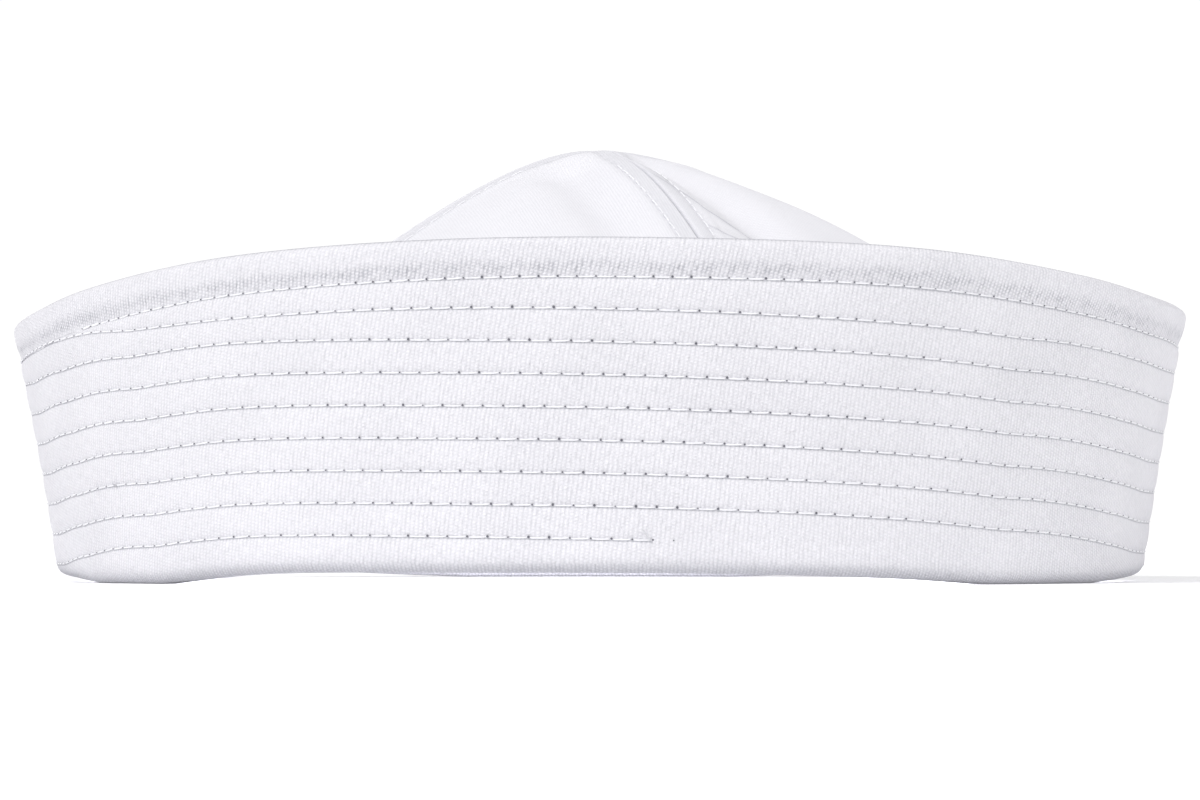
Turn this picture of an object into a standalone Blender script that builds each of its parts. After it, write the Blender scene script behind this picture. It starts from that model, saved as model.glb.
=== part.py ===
"""A sailor cap in white cotton twill, standing on its folded edge with the brim turned up.

The cap is made of five sewn pieces: a doubled brim that runs all round, and the four gores of the crown.
Units are metres and +Z is up. The front of the cap faces -Y and its right-hand side, as seen from the
front, lies at +X. The origin is on the surface that the cap stands on, under the middle of the crown.
An azimuth is counted in degrees from the front, positive towards +X.
"""

import math
from collections import namedtuple

import bmesh
import bpy

# Brim, measured on its outer face
BASE_RADIUS = 0.0955
RIM_RADIUS = 0.1033
WALL_HOLLOW = 0.0005
SIDE_HEIGHT = 0.0446
FRONT_RISE = 0.0105
FOLD_LIFT = 0.0021
BRIM_WALL = 0.0022
FOLD_WALL = 0.0016
FOLD_CORNER = 0.0015
BRIM_SEGMENTS = 96

# Rolled hem along the brim's upper edge, and the groove that the first row of stitches pulls in under it
HEM_HEIGHT = 0.0044
HEM_PROUD = 0.0002
GROOVE_HEIGHT = 0.0026
GROOVE_DEPTH = 0.0003

# Turned-in leg of the brim, which the crown is sewn to
LEG_WALL = 0.0015
LEG_HEIGHT = 0.0085

# Crown
CROWN_WALL = 0.0012
CROWN_HEIGHT = 0.0761
CROWN_BAND = 0.0090
SEAM_PLY = 0.0006
SEAM_ALLOWANCE = 0.0050
GORE_HOLLOW = 0.0012
FOLD_DEPTH = 0.0030
FOLD_WIDTH = 0.0070
GORE_COLUMNS = 16
GORE_ROWS = 14

# Clearances
SEAT_GAP = 0.0003
SEAM_GAP = 0.0003

# The crown's gores in order round the cap, each from the seam at its azimuth to the next one's
Gore = namedtuple("Gore", "name seam")
GORES = (
    Gore("crown_panel_front", -65.0),
    Gore("crown_panel_right", 21.0),
    Gore("crown_panel_back", 114.0),
    Gore("crown_panel_left", 205.0),
)

# The brim's two edges by azimuth. rim_rise is a share of FRONT_RISE above SIDE_HEIGHT, and fold_lift is a
# share of FOLD_LIFT above the surface. Where fold_lift is below zero the cloth lies flat on the surface.
EdgeSection = namedtuple("EdgeSection", "azimuth rim_rise fold_lift")
EDGE_SECTIONS = (
    EdgeSection(-160, 0.95, 0.10),
    EdgeSection(-130, 0.52, 0.90),
    EdgeSection(-90, 0.00, 0.75),
    EdgeSection(-72, 0.11, 0.35),
    EdgeSection(-56, 0.43, -0.22),
    EdgeSection(-36, 0.80, 0.80),
    EdgeSection(-14, 0.98, 0.95),
    EdgeSection(8, 0.99, 0.90),
    EdgeSection(30, 0.90, 0.50),
    EdgeSection(51, 0.60, -0.25),
    EdgeSection(68, 0.34, 0.20),
    EdgeSection(90, 0.24, 0.80),
    EdgeSection(130, 0.54, 0.90),
    EdgeSection(160, 0.95, 0.10),
    EdgeSection(180, 1.00, -0.40),
)

# The dome's profile by azimuth. fullness is its exponent, larger where the cloth stands out more, tip is the
# radius over which its top is rounded, and shoulder is the share of its height that falls at its outer end.
DomeSection = namedtuple("DomeSection", "azimuth fullness tip shoulder")
DOME_SECTIONS = (
    DomeSection(-90, 1.20, 0.0200, 0.05),
    DomeSection(0, 1.50, 0.0110, 0.12),
    DomeSection(90, 1.79, 0.0020, 0.20),
    DomeSection(180, 1.50, 0.0110, 0.12),
)
SHOULDER_EXPONENT = 7.0
# How far above the crown's upright band its seam allowances reach their full thickness, as a share
PLY_TAPER = 0.15

# Soft folds in the crown. Each runs in plan from one point to another, an azimuth and a share of the
# crown's radius, and has a width and a depth as shares of FOLD_WIDTH and FOLD_DEPTH.
CrownFold = namedtuple("CrownFold", "from_azimuth from_radius to_azimuth to_radius width depth")
CROWN_FOLDS = (
    CrownFold(56, 0.12, 39, 0.66, 0.70, 1.00),
    CrownFold(-40, 0.15, 3, 0.50, 1.20, 0.50),
    CrownFold(-98, 0.25, -84, 0.62, 1.30, 0.10),
    CrownFold(96, 0.30, 104, 0.70, 1.40, 0.35),
    CrownFold(-160, 0.20, -172, 0.70, 1.50, 0.60),
    CrownFold(150, 0.35, 136, 0.80, 1.30, 0.45),
)


def clear_scene():
    """Empty the scene, the startup objects included."""
    for thing in list(bpy.data.objects):
        bpy.data.objects.remove(thing, do_unlink=True)


def make_material(name, colour, roughness):
    """Return a plain cloth material."""
    material = bpy.data.materials.new(name)
    material.use_nodes = True
    shader = material.node_tree.nodes["Principled BSDF"]
    shader.inputs["Base Color"].default_value = (*colour, 1.0)
    shader.inputs["Roughness"].default_value = roughness
    shader.inputs["Metallic"].default_value = 0.0
    return material


def smooth_step(value):
    """Ease from 0 to 1, flat at both ends."""
    value = min(max(value, 0.0), 1.0)
    return value * value * (3.0 - 2.0 * value)


def around(sections, field, azimuth):
    """Read one column of a table of sections at an azimuth, on a smooth closed curve through its rows."""
    rows = sorted(sections)
    count = len(rows)
    azimuth = (azimuth - rows[0].azimuth) % 360.0 + rows[0].azimuth
    index = max(number for number, row in enumerate(rows) if row.azimuth <= azimuth)

    def row_at(number):
        """Return the azimuth and the value of a row, counted on past either end of the table."""
        turn, inside = divmod(number, count)
        return rows[inside].azimuth + 360.0 * turn, getattr(rows[inside], field)

    (a0, v0), (a1, v1), (a2, v2), (a3, v3) = (row_at(index + step) for step in (-1, 0, 1, 2))
    span = a2 - a1
    share = (azimuth - a1) / span
    start_slope = (v2 - v0) / (a2 - a0) * span
    end_slope = (v3 - v1) / (a3 - a1) * span
    square = share * share
    cube = square * share
    return (
        (2.0 * cube - 3.0 * square + 1.0) * v1
        + (cube - 2.0 * square + share) * start_slope
        + (3.0 * square - 2.0 * cube) * v2
        + (cube - square) * end_slope
    )


def place(azimuth, radius, height):
    """Return the point at an azimuth, a radius and a height."""
    turn = math.radians(azimuth)
    return (radius * math.sin(turn), -radius * math.cos(turn), height)


def rim_height(azimuth):
    """Height of the brim's upper edge."""
    return SIDE_HEIGHT + FRONT_RISE * around(EDGE_SECTIONS, "rim_rise", azimuth)


def fold_height(azimuth):
    """Height of the fold's underside, which is flat on the surface where it rests."""
    return FOLD_LIFT * max(0.0, around(EDGE_SECTIONS, "fold_lift", azimuth))


def wall_radius(share):
    """Radius of the brim's outer face, which leans out from the fold to the rim with a slight hollow."""
    return BASE_RADIUS + (RIM_RADIUS - BASE_RADIUS) * share - WALL_HOLLOW * 4.0 * share * (1.0 - share)


def brim_radius(azimuth, height):
    """Radius of the brim's outer face at an azimuth and a height."""
    low = fold_height(azimuth)
    return wall_radius((height - low) / (rim_height(azimuth) - low))


def gore_span(index):
    """Return the azimuths of the seams on either side of a gore, the second counted on from the first."""
    start = GORES[index].seam
    following = GORES[(index + 1) % len(GORES)].seam
    return start, start + (following - start) % 360.0


def seam_share(azimuth):
    """Return how far an azimuth lies across its gore, from 0 at one seam to 1 at the next."""
    for index in range(len(GORES)):
        start, end = gore_span(index)
        away = (azimuth - start) % 360.0
        if away <= end - start:
            return away / (end - start)
    return 0.0


def crown_outer_radius():
    """Radius of the crown's upright band, just inside the narrowest part of the brim's wall beside it."""
    shoulder_share = (FOLD_WALL + 2.0 * CROWN_BAND) / SIDE_HEIGHT
    narrowest = min(wall_radius(shoulder_share * step / 4.0) for step in range(5))
    return narrowest - BRIM_WALL - SEAT_GAP


def leg_outer_radius():
    """Radius of the turned-in leg's face that the crown's edge lies against."""
    return crown_outer_radius() - CROWN_WALL - SEAT_GAP


def brim_section(azimuth):
    """Return the brim's section as (radius, height) points, from the fold's inner corner up the outer face."""
    low = fold_height(azimuth)
    high = rim_height(azimuth)
    floor = low + FOLD_WALL
    leg_top = low + LEG_HEIGHT
    leg_outer = leg_outer_radius()
    leg_inner = leg_outer - LEG_WALL
    hem_low = high - HEM_HEIGHT
    groove_low = hem_low - GROOVE_HEIGHT
    hem_middle = high - 0.5 * HEM_HEIGHT
    shoulder = 0.25 * (BRIM_WALL + HEM_PROUD)

    def outer(height, proud=0.0):
        """Point on the outer face, standing proud of the straight wall."""
        return (brim_radius(azimuth, height) + proud, height)

    def inner(height, proud=0.0):
        """Point on the inner face, standing proud of the straight wall."""
        return (brim_radius(azimuth, height) - BRIM_WALL - proud, height)

    points = [
        (leg_inner + FOLD_CORNER, low),
        (BASE_RADIUS - FOLD_CORNER, low),
        (BASE_RADIUS - 0.35 * FOLD_CORNER, low + 0.25 * FOLD_CORNER),
    ]
    wall_start = low + FOLD_CORNER
    wall_shares = (0.0, 0.2, 0.4, 0.6, 0.8, 1.0)
    points += [outer(wall_start + share * (groove_low - wall_start)) for share in wall_shares]
    points += [
        outer(hem_low - 0.5 * GROOVE_HEIGHT, -GROOVE_DEPTH),
        outer(hem_low, -0.5 * GROOVE_DEPTH),
        outer(high - 0.75 * HEM_HEIGHT, HEM_PROUD),
        outer(hem_middle, HEM_PROUD),
        outer(high - shoulder, 0.0),
        (brim_radius(azimuth, high) - 0.5 * BRIM_WALL, high),
        inner(high - shoulder, 0.0),
        inner(hem_middle, HEM_PROUD),
        inner(high - 0.75 * HEM_HEIGHT, HEM_PROUD),
        inner(hem_low, 0.0),
    ]
    trough = floor + SEAT_GAP
    points += [inner(trough + share * (groove_low - trough)) for share in (0.72, 0.44, 0.18)]
    points += [
        (BASE_RADIUS - BRIM_WALL, floor),
        (leg_outer, floor),
        (leg_outer, leg_top),
        (leg_outer - 0.5 * LEG_WALL, leg_top + 0.3 * LEG_WALL),
        (leg_inner, leg_top),
        (leg_inner, low + FOLD_CORNER),
        (leg_inner + 0.35 * FOLD_CORNER, low + 0.25 * FOLD_CORNER),
    ]
    return points


def fold_drop(x, y):
    """How far the crown's soft folds lower its surface at a point in plan."""
    reach = crown_outer_radius()
    drop = 0.0
    for fold in CROWN_FOLDS:
        start_x, start_y, _ = place(fold.from_azimuth, fold.from_radius * reach, 0.0)
        end_x, end_y, _ = place(fold.to_azimuth, fold.to_radius * reach, 0.0)
        run_x = end_x - start_x
        run_y = end_y - start_y
        share = ((x - start_x) * run_x + (y - start_y) * run_y) / (run_x * run_x + run_y * run_y)
        share = min(max(share, 0.0), 1.0)
        away = math.hypot(x - start_x - share * run_x, y - start_y - share * run_y)
        drop += FOLD_DEPTH * fold.depth * math.exp(-((away / (FOLD_WIDTH * fold.width)) ** 2))
    return drop


def dome_end():
    """Return the share of the way down the crown at which its dome ends and its upright band begins."""
    return CROWN_HEIGHT / (CROWN_BAND + CROWN_HEIGHT)


def crown_point(azimuth, share):
    """Return a point of the crown's outer face, share running from the apex (0) to the sewn edge (1)."""
    reach = crown_outer_radius()
    band_top = fold_height(azimuth) + FOLD_WALL + SEAT_GAP + CROWN_BAND
    if share >= dome_end():
        down = (share - dome_end()) / (1.0 - dome_end())
        return place(azimuth, reach, band_top - down * CROWN_BAND)
    # The dome's profile is spaced so that its steep shoulder keeps as many rows as its flat top.
    out = math.sin(share / dome_end() * math.pi / 2.0)
    tip = around(DOME_SECTIONS, "tip", azimuth) / reach
    fullness = around(DOME_SECTIONS, "fullness", azimuth)
    shoulder = around(DOME_SECTIONS, "shoulder", azimuth)
    body = math.hypot(out, tip) ** fullness - tip**fullness
    fall = (1.0 - shoulder) * body + shoulder * out**SHOULDER_EXPONENT
    whole = (1.0 - shoulder) * (math.hypot(1.0, tip) ** fullness - tip**fullness) + shoulder
    hollow = GORE_HOLLOW * math.sin(math.pi * seam_share(azimuth)) * 4.0 * out * (1.0 - out)
    x, y, _ = place(azimuth, reach * out, 0.0)
    fade = smooth_step((1.0 - out) / 0.15) * smooth_step(out / 0.15)
    top = CROWN_HEIGHT - (CROWN_HEIGHT - band_top) * fall / whole
    return (x, y, top - hollow - fade * fold_drop(x, y))


def crown_normal(azimuth, share):
    """Return the outward direction of the crown's surface, from its slopes along and across the gore."""
    step = 0.004
    low = crown_point(azimuth, min(share + step, 1.0))
    high = crown_point(azimuth, max(share - step, 0.001))
    turn = math.radians(azimuth)
    fall_out = (low[0] - high[0]) * math.sin(turn) - (low[1] - high[1]) * math.cos(turn)
    fall_down = high[2] - low[2]
    length = math.hypot(fall_out, fall_down)
    outward = fall_down / length
    upward = fall_out / length
    return (outward * math.sin(turn), -outward * math.cos(turn), upward)


def gore_azimuths(start, end, radius):
    """Return the azimuths of a gore's columns at a radius, from its gap at one seam to its gap at the next."""
    half = 0.5 * (end - start)
    narrow = math.degrees(math.asin(min(1.0, 0.5 * SEAM_GAP / radius)))
    wanted = math.degrees(math.asin(min(1.0, SEAM_ALLOWANCE / radius)))
    allowance = min(wanted, narrow + (half - narrow) * 0.45)
    inner_columns = GORE_COLUMNS - 2
    middle = [
        start + allowance + 2.0 * (half - allowance) * column / inner_columns
        for column in range(inner_columns + 1)
    ]
    return [start + narrow, *middle, end - narrow]


def gore_shares():
    """Return the shares from apex to edge at which a gore has a row, its tip left out."""
    dome_rows = GORE_ROWS - 2
    rows = [dome_end() * (row / dome_rows) ** 1.1 for row in range(1, dome_rows + 1)]
    return [*rows, 0.5 * (1.0 + dome_end()), 1.0]


def gore_layers(start, end):
    """Return the outer and the inner rows of a gore's points, the tip first as a row of one point."""
    tip_radius = 0.5 * SEAM_GAP / math.sin(math.radians(0.5 * (end - start)))
    tip_azimuth = 0.5 * (start + end)
    tip = place(tip_azimuth, tip_radius, crown_point(tip_azimuth, 0.001)[2])
    outer = [[tip]]
    inner = [[(tip[0], tip[1], tip[2] - CROWN_WALL - SEAM_PLY)]]
    for share in gore_shares():
        middle = crown_point(tip_azimuth, share)
        radius = math.hypot(middle[0], middle[1])
        ply = SEAM_PLY * smooth_step((dome_end() - share) / PLY_TAPER)
        outer_row = []
        inner_row = []
        for column, azimuth in enumerate(gore_azimuths(start, end, radius)):
            point = crown_point(azimuth, share)
            along_seam = column in (0, 1, GORE_COLUMNS - 1, GORE_COLUMNS)
            wall = CROWN_WALL + (ply if along_seam else 0.0)
            normal = crown_normal(azimuth, share)
            outer_row.append(point)
            inner_row.append(tuple(value - wall * part for value, part in zip(point, normal)))
        outer.append(outer_row)
        inner.append(inner_row)
    return outer, inner


def finish_object(name, shell, material):
    """Turn a closed bmesh into an object with smooth shading."""
    bmesh.ops.recalc_face_normals(shell, faces=shell.faces)
    mesh = bpy.data.meshes.new(name)
    shell.to_mesh(mesh)
    shell.free()
    mesh.materials.append(material)
    mesh.shade_smooth()
    mesh.set_sharp_from_angle(angle=math.radians(40.0))
    made = bpy.data.objects.new(name, mesh)
    bpy.context.scene.collection.objects.link(made)
    return made


def build_brim(material):
    """Sweep the brim's section round the cap."""
    shell = bmesh.new()
    rings = []
    for segment in range(BRIM_SEGMENTS):
        azimuth = 360.0 * segment / BRIM_SEGMENTS
        section = brim_section(azimuth)
        rings.append([shell.verts.new(place(azimuth, radius, height)) for radius, height in section])
    for ring, following in zip(rings, rings[1:] + rings[:1]):
        count = len(ring)
        for corner in range(count):
            after = (corner + 1) % count
            shell.faces.new((ring[corner], ring[after], following[after], following[corner]))
    return finish_object("brim", shell, material)


def build_gore(name, start, end, material):
    """Build one gore of the crown as a closed shell, thicker along its pressed-open seams."""
    shell = bmesh.new()
    outer_points, inner_points = gore_layers(start, end)
    outer = [[shell.verts.new(point) for point in row] for row in outer_points]
    inner = [[shell.verts.new(point) for point in row] for row in inner_points]
    for layer in (outer, inner):
        tip = layer[0][0]
        for left, right in zip(layer[1], layer[1][1:]):
            shell.faces.new((tip, left, right))
        for row, below in zip(layer[1:], layer[2:]):
            for column in range(len(row) - 1):
                shell.faces.new((row[column], row[column + 1], below[column + 1], below[column]))
    for side in (0, -1):
        for row in range(len(outer) - 1):
            shell.faces.new((outer[row][side], outer[row + 1][side], inner[row + 1][side], inner[row][side]))
    for column in range(len(outer[-1]) - 1):
        edge = (outer[-1][column], outer[-1][column + 1], inner[-1][column + 1], inner[-1][column])
        shell.faces.new(edge)
    return finish_object(name, shell, material)


def main():
    """Build the cap."""
    clear_scene()
    brim_twill = make_material("brim_twill", (0.86, 0.86, 0.89), 0.85)
    crown_twill = make_material("crown_twill", (0.88, 0.88, 0.91), 0.85)
    build_brim(brim_twill)
    for index, gore in enumerate(GORES):
        start, end = gore_span(index)
        build_gore(gore.name, start, end, crown_twill)


main()
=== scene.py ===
"""The looks of a white cotton sailor cap: its twill, its stitching and the plain studio that it stands in.

The cap's solids come in as a fixed frame, in metres, with +Z up and the front of the cap facing -Y. Each
cloth piece here has the form of the solid that it stands for, with the seams, stitch grooves, puckers and
folds that the real cloth has. An azimuth is counted in degrees from the front, positive towards +X.
"""

import logging
import math
from collections.abc import Callable
from dataclasses import dataclass, field
from enum import Enum

import bpy
import numpy as np
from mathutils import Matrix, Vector


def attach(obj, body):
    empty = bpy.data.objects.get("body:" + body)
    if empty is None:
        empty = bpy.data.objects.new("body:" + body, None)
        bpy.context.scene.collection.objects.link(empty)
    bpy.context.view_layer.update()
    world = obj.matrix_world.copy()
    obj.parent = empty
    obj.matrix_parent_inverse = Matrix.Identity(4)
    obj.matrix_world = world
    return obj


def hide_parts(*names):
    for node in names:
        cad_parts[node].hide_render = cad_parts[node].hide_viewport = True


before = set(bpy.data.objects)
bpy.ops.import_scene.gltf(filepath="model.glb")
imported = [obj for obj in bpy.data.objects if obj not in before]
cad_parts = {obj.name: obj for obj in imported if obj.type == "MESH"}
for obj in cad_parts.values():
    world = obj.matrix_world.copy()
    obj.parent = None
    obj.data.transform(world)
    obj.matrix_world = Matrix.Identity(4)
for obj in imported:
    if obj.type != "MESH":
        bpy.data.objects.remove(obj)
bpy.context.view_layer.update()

log = logging.getLogger("sailor_cap")
Array = np.ndarray
Socket = bpy.types.NodeSocket
Guide = tuple[Array, Array, int]

MM = 0.001
BODY = "root"

# The brim's two edges by azimuth: the rim's rise as a share of the front rise, and the fold's lift off the
# surface as a share of the largest lift. Below zero the cloth lies flat on the surface.
EDGE_ROWS = (
    (-160.0, 0.95, 0.10),
    (-130.0, 0.52, 0.90),
    (-90.0, 0.00, 0.75),
    (-72.0, 0.11, 0.35),
    (-56.0, 0.43, -0.22),
    (-36.0, 0.80, 0.80),
    (-14.0, 0.98, 0.95),
    (8.0, 0.99, 0.90),
    (30.0, 0.90, 0.50),
    (51.0, 0.60, -0.25),
    (68.0, 0.34, 0.20),
    (90.0, 0.24, 0.80),
    (130.0, 0.54, 0.90),
    (160.0, 0.95, 0.10),
    (180.0, 1.00, -0.40),
)

# The dome's profile by azimuth: its exponent, the radius over which its top is rounded, and the share of its
# height that falls at its outer end
DOME_ROWS = (
    (-90.0, 1.20, 0.0200, 0.05),
    (0.0, 1.50, 0.0110, 0.12),
    (90.0, 1.79, 0.0020, 0.20),
    (180.0, 1.50, 0.0110, 0.12),
)

# How the brim's rows of stitches sway: by azimuth, how many millimetres higher above the fold they run than
# they would if they dropped evenly from the front
ROW_SWAY = (
    (-140.0, -2.8),
    (-100.0, -5.0),
    (-75.0, -4.3),
    (-65.0, -1.9),
    (-55.0, -0.2),
    (-40.0, 0.2),
    (0.0, 0.0),
    (45.0, -1.1),
    (60.0, -2.7),
    (75.0, -5.2),
    (100.0, -5.6),
    (140.0, -3.2),
    (180.0, -1.2),
)


class Slot(Enum):
    """The record's material slots."""

    BRIM = "brim_twill"
    CROWN = "crown_twill"


def ease(value: Array) -> Array:
    """Ease from 0 to 1, flat at both ends."""
    value = np.clip(value, 0.0, 1.0)
    return value * value * (3.0 - 2.0 * value)


def bell(value: Array) -> Array:
    """Return a bell curve, 1 at zero."""
    return np.exp(-(value**2))


def place(azimuth: Array, radius: Array, height: Array) -> Array:
    """Turn an azimuth, a radius and a height into points.

    Args:
        azimuth: Degrees from the front.
        radius: Distance from the cap's upright axis.
        height: Height above the surface.

    Returns:
        The points, with x, y and z along the last axis.
    """
    turn = np.radians(azimuth)
    x, y, z = np.broadcast_arrays(radius * np.sin(turn), -radius * np.cos(turn), height)
    return np.stack((x, y, z), axis=-1)


def hermite(share: Array, span: Array, ends: tuple[Array, Array], slopes: tuple[Array, Array]) -> Array:
    """Return the smooth curve between two values with given slopes at both ends.

    Args:
        share: How far along, from 0 to 1.
        span: The length of the stretch.
        ends: The values at its two ends.
        slopes: The slopes at its two ends.

    Returns:
        The values on the curve.
    """
    square = share * share
    cube = square * share
    return (
        (2.0 * cube - 3.0 * square + 1.0) * ends[0]
        + (cube - 2.0 * square + share) * slopes[0] * span
        + (3.0 * square - 2.0 * cube) * ends[1]
        + (cube - square) * slopes[1] * span
    )


@dataclass(frozen=True)
class RoundTable:
    """Values at azimuths round the cap, joined by a smooth closed curve."""

    azimuths: tuple[float, ...]
    values: tuple[float, ...]

    def at(self, azimuth: Array) -> Array:
        """Read the curve.

        Args:
            azimuth: Degrees from the front.

        Returns:
            The values there.
        """
        turns = np.asarray(self.azimuths)
        values = np.asarray(self.values)
        wrapped = (azimuth - turns[0]) % 360.0 + turns[0]
        index = np.searchsorted(turns, wrapped, side="right") - 1

        def row(step: int) -> tuple[Array, Array]:
            """Return the azimuth and the value of a row, counted on past either end."""
            lap, inside = np.divmod(index + step, len(turns))
            return turns[inside] + 360.0 * lap, values[inside]

        (a0, v0), (a1, v1), (a2, v2), (a3, v3) = (row(step) for step in (-1, 0, 1, 2))
        slopes = ((v2 - v0) / (a2 - a0), (v3 - v1) / (a3 - a1))
        return hermite((wrapped - a1) / (a2 - a1), a2 - a1, (v1, v2), slopes)


@dataclass(frozen=True)
class CapForm:
    """The cap's main sizes, the same as its solids have."""

    base_radius: float = 0.0955
    rim_radius: float = 0.1033
    wall_hollow: float = 0.0005
    side_height: float = 0.0446
    front_rise: float = 0.0105
    fold_lift: float = 0.0021
    brim_wall: float = 0.0022
    fold_wall: float = 0.0016
    fold_corner: float = 0.0015
    leg_wall: float = 0.0015
    leg_height: float = 0.0085
    crown_wall: float = 0.0012
    crown_height: float = 0.0761
    crown_band: float = 0.0090
    seat_gap: float = 0.0003
    rim_rise: RoundTable = RoundTable(tuple(r[0] for r in EDGE_ROWS), tuple(r[1] for r in EDGE_ROWS))
    lift: RoundTable = RoundTable(tuple(r[0] for r in EDGE_ROWS), tuple(r[2] for r in EDGE_ROWS))

    def rim_height(self, azimuth: Array) -> Array:
        """Height of the brim's upper edge."""
        return self.side_height + self.front_rise * self.rim_rise.at(azimuth)

    def fold_height(self, azimuth: Array) -> Array:
        """Height of the fold's underside, flat on the surface where it rests."""
        return self.fold_lift * np.maximum(0.0, self.lift.at(azimuth))

    def wall_radius(self, share: Array) -> Array:
        """Radius of the brim's outer face, which leans out from the fold to the rim with a slight hollow."""
        lean = (self.rim_radius - self.base_radius) * share
        return self.base_radius + lean - self.wall_hollow * 4.0 * share * (1.0 - share)

    @property
    def crown_radius(self) -> float:
        """Radius of the crown's upright band, just inside the narrowest part of the brim beside it."""
        shoulder = (self.fold_wall + 2.0 * self.crown_band) / self.side_height
        narrowest = float(np.min(self.wall_radius(shoulder * np.linspace(0.0, 1.0, 5))))
        return narrowest - self.brim_wall - self.seat_gap

    @property
    def leg_radius(self) -> float:
        """Radius of the turned-in leg's face that the crown's edge lies against."""
        return self.crown_radius - self.crown_wall - self.seat_gap


@dataclass(frozen=True)
class StitchSpiral:
    """The brim's one line of stitching, which runs round and round from under the hem down to the fold.

    Its first turn follows the hem. Then it dips, and from there it drops evenly, apart from the rows' sway.

    The line is read by its lap angle: the azimuth plus 360 degrees for each turn that is behind it.
    """

    form: CapForm
    start: float = -58.0
    slow_end: float = 300.0
    end: float = 2885.0
    first_stitch: float = 3.03 * MM
    later_stitch: float = 3.30 * MM
    turns: int = 9
    hem_gap: float = 6.3 * MM
    hem_end: float = 280.0
    leaving: float = 20.0
    front_height: float = 47.0 * MM
    turn_drop: float = 5.2 * MM
    dip: float = 1.3 * MM
    dip_lap: float = 320.0
    dip_width: float = 18.0
    sway: RoundTable = RoundTable(tuple(r[0] for r in ROW_SWAY), tuple(r[1] for r in ROW_SWAY))

    def share(self, lap: Array) -> Array:
        """Read the line's height as a share of the brim's height.

        Args:
            lap: Lap angles.

        Returns:
            The shares.
        """
        tall = self.form.rim_height(lap) - self.form.fold_height(lap)
        under_hem = tall - self.hem_gap
        row = self.front_height - self.turn_drop * lap / 360.0 + MM * self.sway.at(lap)
        row = row - self.dip * bell((lap - self.dip_lap) / self.dip_width)
        left = ease((lap - self.hem_end) / self.leaving)
        return (under_hem + left * (row - under_hem)) / tall

    def radius_height(self, lap: Array) -> tuple[Array, Array]:
        """Return the radius and the height of the line on the plain wall at its lap angles."""
        low = self.form.fold_height(lap)
        share = self.share(lap)
        return self.form.wall_radius(share), low + share * (self.form.rim_height(lap) - low)

    def travelled(self, lap: Array) -> Array:
        """Return the thread's way from the start of the line to its lap angles."""
        fine = np.arange(self.start - 360.0, self.end + 361.0, 1.0)
        radius, height = self.radius_height(fine)
        points = place(fine, radius, height)
        steps = np.linalg.norm(np.diff(points, axis=0), axis=1)
        way = np.concatenate(([0.0], np.cumsum(steps)))
        return np.interp(lap, fine, way) - np.interp(self.start, fine, way)

    @property
    def counts(self) -> tuple[int, int]:
        """Number of stitches in the first, shorter-stitched stretch and in the rest."""
        first, whole = self.travelled(np.asarray([self.slow_end, self.end]))
        return round(first / self.first_stitch), round((whole - first) / self.later_stitch)

    @property
    def stretches(self) -> tuple[tuple[float, float, int], ...]:
        """The two stretches of the line: their first and last lap angles and their numbers of stitches."""
        first, rest = self.counts
        return (self.start, self.slow_end, first), (self.slow_end, self.end, rest)

    def stitch_count(self, lap: Array) -> Array:
        """Return how many stitches lie behind each lap angle, with negative numbers before the start."""
        first, whole = self.travelled(np.asarray([self.slow_end, self.end]))
        many, more = self.counts
        way = self.travelled(lap)
        slow = way / first * many
        return np.where(way < first, slow, many + (way - first) / (whole - first) * more)

    def turn_at(self, azimuth: Array, share: Array) -> Array:
        """Count turns down the wall: whole numbers on the stitched rows, fractions between them.

        Args:
            azimuth: Azimuths of a set of columns, each between -180 and 180.
            share: Heights on the wall as shares, one row for each height and one column for each azimuth.

        Returns:
            The turns, in the shape of the shares.
        """
        turns = np.arange(-1, self.turns + 1)
        rows = np.stack([self.share(azimuth + 360.0 * turn) for turn in turns])
        rows[0] = rows[1] + 0.11
        rows[-1] = np.minimum(rows[-2] - 0.09, rows[-1])
        rows = np.minimum.accumulate(rows - 1e-6 * turns[:, None], axis=0)
        found = np.empty_like(share)
        for column in range(share.shape[1]):
            found[:, column] = np.interp(-share[:, column], -rows[:, column], turns)
        return found


def lattice(name: str, points: Array, maps: dict[str, Array], capped: int = 0) -> bpy.types.Object:
    """Make a closed tube of quads from a lattice of points.

    Args:
        name: Name of the object.
        points: Points by row and column. The last column repeats the first, and so does a ring's last row.
        maps: UV maps by name, with one pair for each point of the lattice.
        capped: Number of columns on the outer side of an open-ended tube, whose two ends are closed by strips
            from its outer to its inner side. With 0 the tube is a ring that closes on itself.

    Returns:
        The object, with smooth shading and outward faces.
    """
    rows, columns = points.shape[0], points.shape[1]
    wide = columns - 1
    tall = rows if capped else rows - 1
    vertices = points[:tall, :wide].reshape(-1, 3)
    row, column = np.meshgrid(np.arange(rows - 1), np.arange(columns - 1), indexing="ij")
    row, column = row.ravel(), column.ravel()
    corner_rows = np.stack((row, row, row + 1, row + 1), axis=1)
    corner_columns = np.stack((column, column + 1, column + 1, column), axis=1)
    if capped:
        across = np.arange(capped - 1)
        back = wide - 1 - across
        for end, order in ((0, (3, 2, 1, 0)), (rows - 1, (0, 1, 2, 3))):
            strip = np.stack((across, across + 1, back - 1, back), axis=1)[:, order]
            corner_columns = np.concatenate((corner_columns, strip))
            corner_rows = np.concatenate((corner_rows, np.full_like(strip, end)))
    corners = (corner_rows % tall) * wide + corner_columns % wide
    mesh = bpy.data.meshes.new(name)
    mesh.from_pydata(vertices.tolist(), [], corners.tolist())
    for label, pairs in maps.items():
        layer = mesh.uv_layers.new(name=label)
        layer.data.foreach_set("uv", pairs[corner_rows, corner_columns].astype(np.float32).ravel())
    face_up(mesh)
    mesh.shade_smooth()
    return stand(name, mesh)


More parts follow.
